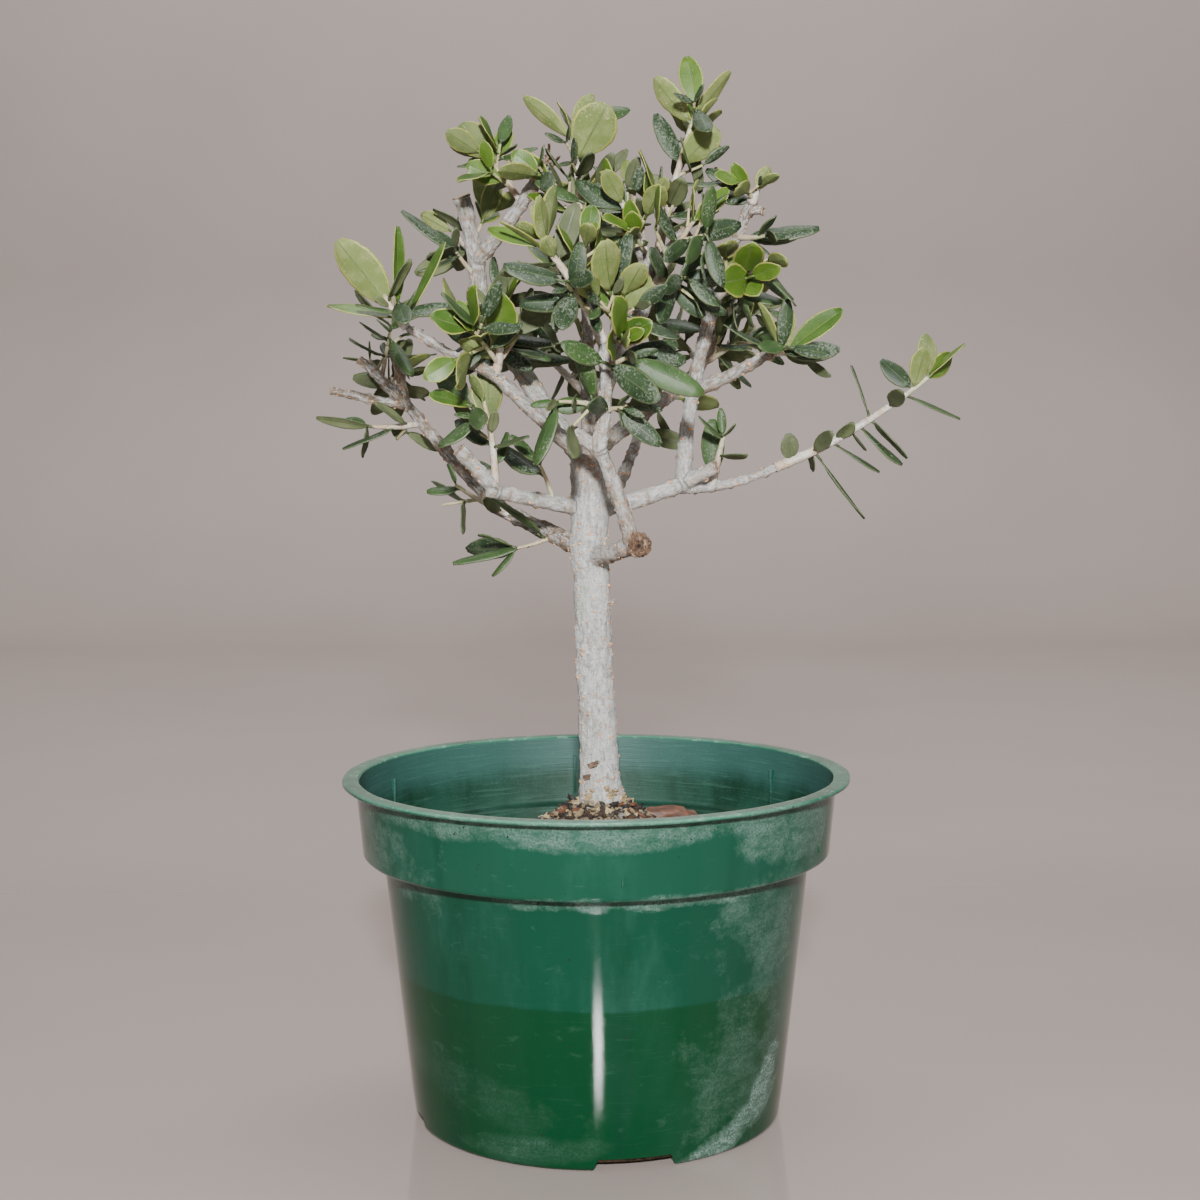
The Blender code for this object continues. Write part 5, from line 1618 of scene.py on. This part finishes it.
def stalk_mesh(leaf):
    """The short stalk of a leaf, from inside the wood to the blade."""
    side = np.cross(leaf.face, leaf.along)
    sides = 6
    points, faces = [], []
    for s, r in ((-0.02, 0.55), (0.04, 0.46), (STALK, 0.44), (0.15, 0.40)):
        drop = leaf.bend * leaf.length * s * s + 0.12
        middle = leaf.base + leaf.along * (s * leaf.length) - leaf.face * drop
        for k in range(sides):
            turn = 2 * math.pi * k / sides
            out = side * math.cos(turn) + leaf.face * math.sin(turn)
            points.append(middle + out * r * min(1.1, leaf.width / 6 + 0.3))
    last = len(points) - sides
    for ring in range(0, last, sides):
        for k in range(sides):
            a, b = ring + k, ring + (k + 1) % sides
            faces.append((a, b, b + sides, a + sides))
    faces.append(tuple(range(sides - 1, -1, -1)))
    faces.append(tuple(range(last, len(points))))
    return np.array(points), faces, [STALK_SLOT] * len(faces)


def make_leaves(name, leaves, finishes, seed):
    """All the leaves of one kind as one piece."""
    rng = random.Random(seed)
    points, faces, slots = [], [], []
    count = 0
    for leaf, tint in leaves:
        for own_points, own_faces, own_slots in (leaf_mesh(leaf, rng), stalk_mesh(leaf)):
            points.append(own_points)
            faces += [tuple(v + count for v in face) for face in own_faces]
            slots += [slot + 4 * tint if slot < RIM_SLOT else slot for slot in own_slots]
            count += len(own_points)
    return paint(mesh_object(name, np.vstack(points), faces, slots), *finishes)


def stem_radius(foot, t):
    return foot * (1 - 0.55 * t) * (1 + 0.10 * math.cos(t * 38) ** 8)


def twig_radius(foot, tip, t):
    return (foot + (tip - foot) * t) * (1 + 0.18 * math.cos(t * 12) ** 6)


def make_shoots(grown, crown):
    """Stems and twigs of every mass, thicker at each joint where a pair of leaves stands."""
    runs = []
    for name, out in grown.items():
        runs.append((crown.stems[name], lambda t, a=MASSES[name].stem_r: stem_radius(a, t)))
        runs += [(path, lambda t, a=a, b=b: twig_radius(a, b, t)) for path, a, b in out["twigs"]]
    item = tubes("young_shoots", runs, 1.0, 2)
    with editing(item):
        bpy.ops.mesh.remove_doubles(threshold=0.000002)
        bpy.ops.mesh.normals_make_consistent(inside=False)
    points = points_of(item)
    along, turn, number, thick = limb_coordinates(points, runs)
    lift = (layers(points * 1.6, 2) - 0.5) * 0.18
    set_points(item, points + normals_of(item) * lift[:, None])
    point_value(item, "age", np.clip((thick - 0.5) / 0.7, 0, 1))
    item.data.shade_smooth()
    return paint(item, SHOOTS)


# ---------------------------------------------------------------- the pot


def arc(middle_r, middle_z, radius, first, last, steps):
    """Points of a profile along a round corner; angles in degrees from outwards, upwards positive."""
    turns = [math.radians(first + (last - first) * k / steps) for k in range(steps + 1)]
    return [(middle_r + radius * math.cos(a), middle_z + radius * math.sin(a)) for a in turns]


def pot_section():
    """The wall's section from under the floor, up the outside, over the rim and down the inside."""
    h, shelf = POT_HEIGHT, COLLAR_FOOT_Z
    under = h - FLANGE_THICK
    lean = (BODY_TOP_R - BODY_FOOT_R) / shelf
    section = arc(BODY_FOOT_R - 1.9, 1.9, 1.9, -90, 0, 5)
    section += [(BODY_FOOT_R + lean * z, z) for z in range(10, 90, 10)]
    section += arc(BODY_TOP_R + 0.5, shelf - 0.5, 0.5, 180, 90, 3)
    section += arc(COLLAR_FOOT_R - 1.6, shelf + 1.6, 1.6, -90, 0, 6)
    flare = COLLAR_TOP_R - COLLAR_FOOT_R
    section += [(COLLAR_FOOT_R + flare * k / 3, shelf + 2.4 + 6.7 * k) for k in (1, 2)]
    section += arc(COLLAR_TOP_R + 0.5, under - 0.5, 0.5, 180, 90, 3)
    section += arc(RIM_R - 0.4, under + 0.4, 0.4, -90, 0, 3)
    section += arc(RIM_R - 0.4, h - 0.4, 0.4, 0, 90, 3)
    section += [(RIM_R - 2.2, h)]
    section += arc(COLLAR_TOP_R - WALL + 0.7, h - 0.7, 0.7, 90, 180, 4)
    section += [(COLLAR_TOP_R - WALL - 0.8, 102.5), (COLLAR_FOOT_R - WALL + 0.2, 95)]
    section += arc(COLLAR_FOOT_R - WALL - 1.6, shelf + WALL + 1.6, 1.6, 0, -90, 4)
    section += arc(BODY_TOP_R - WALL + 0.5, shelf + 0.6, 0.5, 90, 180, 3)
    section += [(BODY_FOOT_R - WALL + lean * z, z) for z in (60, 30, 3)]
    section += [(BODY_FOOT_R - 2.6, FLOOR)]
    return section


def turned(name, section, sides):
    """A section walked round the upright axis: a ring at its start, extruded and sized step by step."""
    radius, level = section[0]
    bpy.ops.object.select_all(action="DESELECT")
    bpy.ops.mesh.primitive_circle_add(
        vertices=sides, radius=radius * MM, location=(0, 0, level * MM), fill_type="NGON"
    )
    item = bpy.context.active_object
    item.name = name
    item.data.name = name
    with editing(item):
        bpy.ops.mesh.select_mode(type="EDGE")
        bpy.ops.mesh.select_all(action="SELECT")
        bpy.ops.mesh.duplicate()
        bpy.ops.mesh.delete(type="ONLY_FACE")
        bpy.ops.mesh.select_all(action="DESELECT")
        bpy.ops.mesh.select_non_manifold()
        for (r0, z0), (r1, z1) in zip(section, section[1:]):
            bpy.ops.mesh.extrude_region_move(TRANSFORM_OT_translate={"value": (0, 0, (z1 - z0) * MM)})
            bpy.ops.transform.resize(value=(r1 / r0, r1 / r0, 1), center_override=(0, 0, z1 * MM))
        bpy.ops.mesh.edge_face_add()
        bpy.ops.mesh.select_all(action="SELECT")
        bpy.ops.mesh.remove_doubles(threshold=0.000001)
        bpy.ops.mesh.normals_make_consistent(inside=False)
    settle(item)
    return item


def block(name, sizes, at, turn, bevel):
    """A small block, turned about the upright axis, with its edges bevelled."""
    bpy.ops.object.select_all(action="DESELECT")
    bpy.ops.mesh.primitive_cube_add(size=1, location=[c * MM for c in at], rotation=(0, 0, turn))
    item = bpy.context.active_object
    item.name = name
    item.scale = [s * MM for s in sizes]
    settle(item)
    if bevel:
        with editing(item):
            bpy.ops.mesh.bevel(offset=bevel * MM, segments=2, affect="EDGES")
    return item


def boolean(item, operation, other):
    cut = item.modifiers.new(operation.lower(), "BOOLEAN")
    cut.operation = operation
    cut.object = other
    apply_all(item)
    bpy.data.objects.remove(other, do_unlink=True)


def collar_rib(turn):
    """One of the upright ribs inside the collar."""
    tall = POT_HEIGHT - COLLAR_FOOT_Z - 12
    middle = around(turn, (COLLAR_FOOT_R + COLLAR_TOP_R) / 2 - WALL - 0.1, COLLAR_FOOT_Z + 5 + tall / 2)
    return block("rib", (1.9, 1.2, tall), middle, turn, 0.25)


def notch_cutter(turn):
    """What cuts one drain notch: a block under the pot's edge that narrows upwards."""
    sizes = (NOTCH_DEPTH * 2, NOTCH_WIDTH_FOOT, NOTCH_HEIGHT * 2)
    cutter = block("notch", sizes, around(turn, BODY_FOOT_R, 0), turn, 0)
    narrow = NOTCH_WIDTH_TOP / NOTCH_WIDTH_FOOT
    side = Vector((-math.sin(turn), math.cos(turn), 0))
    for vertex in cutter.data.vertices:
        if vertex.co.z > 0:
            vertex.co -= side * (side @ vertex.co) * (1 - narrow)
        else:
            vertex.co.z = -1 * MM
    return cutter


def make_pot():
    """The pot's wall with ribs inside the collar, notches under the foot and a little moulding flash."""
    pot = turned("nursery_pot", pot_section(), POT_SIDES)
    for k in range(RIBS):
        boolean(pot, "UNION", collar_rib(math.radians(36 + 360 * k / RIBS)))
    for k in range(NOTCHES):
        boolean(pot, "DIFFERENCE", notch_cutter(math.radians(-90 + NOTCH_TURN + 360 / NOTCHES * k)))
    flash = ribbon((-68.9, -8, 85.2), (-1, -0.35, 0.05), (0.1, -0.2, 1), 1.5, 4.4, 1.6, 0.35)
    sliver = ribbon((-68.7, -9, 84.3), (-0.3, -0.35, -0.9), (-1, -0.2, 0), 1.2, 4.0, -0.5, 0.35)
    edge = ribbon((77.6, 7, 108.6), (1, -0.1, -0.6), (0, -1, 0.2), 0.9, 1.8, 0.7, 0.3)
    pot = join("nursery_pot", [pot, flash, sliver, edge])
    out_of_round(pot)
    paint(pot, POT, POT_INSIDE)
    for polygon in pot.data.polygons:
        x, y, z = (c / MM for c in polygon.center)
        r = math.hypot(x, y)
        inward = (polygon.normal.x * x + polygon.normal.y * y) / max(r, 1) < -0.1
        step = polygon.normal.z > 0.6 and r < COLLAR_TOP_R - WALL
        polygon.material_index = 1 if (inward and z < POT_HEIGHT - 1.5) or step else 0
    only(pot)
    bpy.ops.object.shade_smooth_by_angle(angle=math.radians(38))
    return pot


def out_of_round(pot):
    """The thin wall is a hair off true, more at the rim than at the foot."""
    points = points_of(pot)
    turn = np.arctan2(points[:, 1], points[:, 0])
    rise = points[:, 2] / POT_HEIGHT
    waver = 0.22 * np.sin(3 * turn + 0.6) + 0.12 * np.sin(5 * turn + 2.1)
    ripple = 0.10 * np.sin(19 * turn + 1.0) * np.exp(-((rise - 0.86) / 0.3) ** 2)
    scale = 1 - (0.34 - waver) * rise / 82 + ripple * rise / 82
    points[:, :2] *= scale[:, None]
    points[:, 2] -= 0.18 * (rise > 0.9) * (1 + np.sin(2 * turn + 0.9)) / 2
    set_points(pot, points)


# ---------------------------------------------------------------- the soil


def mound_height(r):
    return np.interp(r, [m[0] for m in MOUND], [m[1] for m in MOUND])


def ground(x, y):
    """Height of the uneven soil at points of the plan."""
    r = np.hypot(x, y)
    flat = np.stack((x, y, np.zeros_like(x)), axis=-1)
    rough = (layers(flat * 0.11, 3) - 0.5) * 3.2 + (layers(flat * 0.55 + 9, 2) - 0.5) * 1.7
    calm = np.clip((r - 7) / 8, 0.25, 1) * np.clip((67.2 - r) / 4, 0, 1)
    far = np.hypot(x - TRUNK_FOOT[0], y - TRUNK_FOOT[1])
    heap = HEAP * np.exp(-(np.maximum(far - 8, 0) / 4.5) ** 2)
    return mound_height(r) + rough * calm + heap - 0.55


def make_soil():
    """The root ball: a closed body whose top is the uneven mound."""
    inner = BODY_FOOT_R - WALL - 0.3
    section = [(inner - 1.5, FLOOR + 0.3), (inner, 3.6), (66.2, 72), (67.1, 79.2)]
    section += [(r, float(mound_height(r))) for r in SOIL_RINGS]
    soil = turned("root_ball", section, 96)
    with editing(soil):
        bpy.ops.mesh.subdivide(number_cuts=1)
    points = points_of(soil)
    top = points[:, 2] > 79.0
    points[top, 2] = ground(points[top, 0], points[top, 1])
    set_points(soil, points)
    soil.data.shade_smooth()
    return paint(soil, SOIL)


def scattered(rng, close):
    """A place on the mound, close to the trunk or anywhere inside the wall."""
    while True:
        r = rng.uniform(7.5, 21) if close else math.sqrt(rng.random()) * 66.5
        x, y, z = around(rng.uniform(0, 2 * math.pi), r, 0)
        if math.hypot(x - TRUNK_FOOT[0], y - TRUNK_FOOT[1]) > 8.2:
            return x, y, float(ground(np.array([x]), np.array([y]))[0])


def make_grit():
    """Loose grains of the potting mix: pale pumice, straw, black char and brown bark."""
    rng = random.Random(31)
    ball, faces = ball_shape(1)
    shapes, slots = [], []
    for n in range(GRAINS):
        x, y, level = scattered(rng, n % 5 < 2)
        size = rng.uniform(0.35, 1.05) if rng.random() < 0.8 else rng.uniform(1.0, 1.9)
        ratios = (rng.uniform(0.8, 1.9), rng.uniform(0.5, 0.95), rng.uniform(0.3, 0.75))
        shape = (jagged(rng, ball, 0.72, 1.2) * ratios * size) @ turning(rng)
        shapes.append(shape + (x, y, level + size * rng.uniform(0.0, 0.5)))
        slots.append(rng.choices(range(len(GRIT)), GRAIN_SHARES)[0])
    return paint(copies("grit", shapes, faces, slots), *GRIT)


def make_bark_bits():
    """Flat chips and splinters among the grit, each bent across its middle."""
    rng = random.Random(47)
    corners = np.array([(x, y, z) for x in (-1, 0, 1) for y in (-1, 1) for z in (-1, 1)], float) / 2
    faces = [(0, 1, 3, 2), (8, 10, 11, 9)]
    for k in (0, 4):
        for quad in ((0, 4, 5, 1), (2, 3, 7, 6), (0, 2, 6, 4), (1, 5, 7, 3)):
            faces.append([k + corner for corner in quad])
    shapes, slots = [], []
    for n in range(BARK_BITS):
        x, y, level = scattered(rng, n % 3 == 0)
        bent = corners * np.array((rng.uniform(3, 8), rng.uniform(1.2, 3.0), rng.uniform(0.5, 1.2)))
        bent[:, 2] += np.where(corners[:, 0] == 0, rng.uniform(-0.5, 0.5), 0)
        bent = bent + np.array([[rng.uniform(-0.25, 0.25) for c in range(3)] for p in bent])
        spin = Matrix.Rotation(rng.uniform(0, 6.28), 3, "Z")
        tip = Matrix.Rotation(rng.uniform(-0.45, 0.45), 3, "Y")
        shapes.append(bent @ np.array(spin @ tip).T + (x, y, level + rng.uniform(0.2, 0.9)))
        slots.append(rng.choice((0, 0, 1, 2)))
    return paint(copies("bark_bits", shapes, np.array(faces), slots), CHIP, HUMUS, CHAR)


def make_chip():
    """One smooth reddish piece of bark lying behind the rim."""
    chip = block("bark_chip", (19.5, 8.5, 6.5), CHIP_AT, math.radians(8), 1.6)
    smooth = chip.modifiers.new("worn", "SUBSURF")
    smooth.levels = 3
    smooth.render_levels = 3
    apply_all(chip)
    points = points_of(chip)
    along = points[:, 0] - CHIP_AT[0]
    points[:, 2] += 0.9 * np.cos(along / 5.5) - 0.5 + (layers(points * 0.35, 3) - 0.5) * 1.6
    points[:, 1] += (layers(points * 0.3 + 4, 2) - 0.5) * 1.8
    points[:, 2] -= 1.3 * (along > 5)
    set_points(chip, points)
    chip.data.shade_smooth()
    return paint(chip, CHIP)


# ---------------------------------------------------------------- the set


def make_floor():
    """A pale sheet that lies under the pot and sweeps up behind it."""
    half, foot, radius, top = 2.6, 1.35, 0.40, 2.8
    section = [(-half, 0.0), (foot, 0.0)]
    for k in range(1, 25):
        turn = math.pi / 2 * k / 24
        section.append((foot + radius * math.sin(turn), radius - radius * math.cos(turn)))
    section.append((foot + radius, top))
    points = [(x * 1000, y * 1000, z * 1000) for y, z in section for x in (-half, half)]
    faces = [(2 * k, 2 * k + 1, 2 * k + 3, 2 * k + 2) for k in range(len(section) - 1)]
    paint(mesh_object("pale_floor", points, faces), floor_finish())


def make_lights():
    for name, (at, target, width, height, power) in LIGHTS.items():
        data = bpy.data.lights.new(name, "AREA")
        data.shape = "RECTANGLE"
        data.size = width
        data.size_y = height
        data.energy = power
        lamp = in_scene(name, data)
        lamp.location = at
        lamp.rotation_euler = (Vector(target) - Vector(at)).to_track_quat("-Z", "Y").to_euler()
    world = bpy.data.worlds.new("soft_room")
    bpy.context.scene.world = world
    world.use_nodes = True
    sky = world.node_tree.nodes["Background"]
    sky.inputs["Color"].default_value = (0.80, 0.78, 0.76, 1)
    sky.inputs["Strength"].default_value = 0.29


def make_camera():
    data = bpy.data.cameras.new("camera")
    data.lens = 60
    data.sensor_width = 36
    camera = in_scene("camera", data)
    camera.location = CAMERA_AT
    level = Matrix.Rotation(math.pi / 2 - CAMERA_DROP, 4, "X") @ Matrix.Rotation(CAMERA_ROLL, 4, "Z")
    camera.rotation_euler = level.to_euler()
    bpy.context.scene.camera = camera


# ---------------------------------------------------------------- putting it together


def dealt(grown):
    """The leaves of all masses as (leaf, tint) lists, old and young apart, one tint to a spray."""
    old, young = [], []
    for n, out in enumerate(grown.values()):
        rng = random.Random(n * 7 + 3)
        tint = rng.random()
        for leaf in out["leaves"]:
            own = tint if rng.random() < 0.7 else rng.random()
            if leaf.young:
                young.append((leaf, int(own > 0.6)))
            else:
                old.append((leaf, int(own > 0.55)))
    return old, young


def add_piece(item, slot, *nodes):
    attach(item, "root")
    if nodes:
        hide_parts(*nodes)


def main():
    make_camera()
    make_lights()
    make_floor()
    crown = Crown()
    grown = {name: crown.grow(name) for name in MASSES}
    for name, seed in FINE_SEEDS.items():
        crown.finer(name, grown[name], seed)
    runs = wood_runs(crown)
    wood = make_wood(crown, runs)
    add_piece(wood, "bark", *crown.limbs)
    bark = surface_of(wood)
    for piece in (*make_cuts(crown), make_knuckle(), make_pores(runs, bark), make_peelings(crown)):
        add_piece(piece, "bark")
    for piece in (make_root_knobs(bark), make_scars(bark)):
        add_piece(piece, "bark")
    add_piece(make_shoots(grown, crown), "bark", *MASSES)
    old, young = dealt(grown)
    add_piece(make_leaves("old_leaves", old, OLD_LEAVES, 3), "foliage", *MASSES)
    add_piece(make_leaves("young_leaves", young, YOUNG_LEAVES, 4), "foliage", *MASSES)
    add_piece(make_pot(), "pot_plastic", "pot")
    add_piece(make_soil(), "soil", "soil")
    for piece in (make_grit(), make_bark_bits(), make_chip()):
        add_piece(piece, "soil")


main()
bpy.context.view_layer.update()
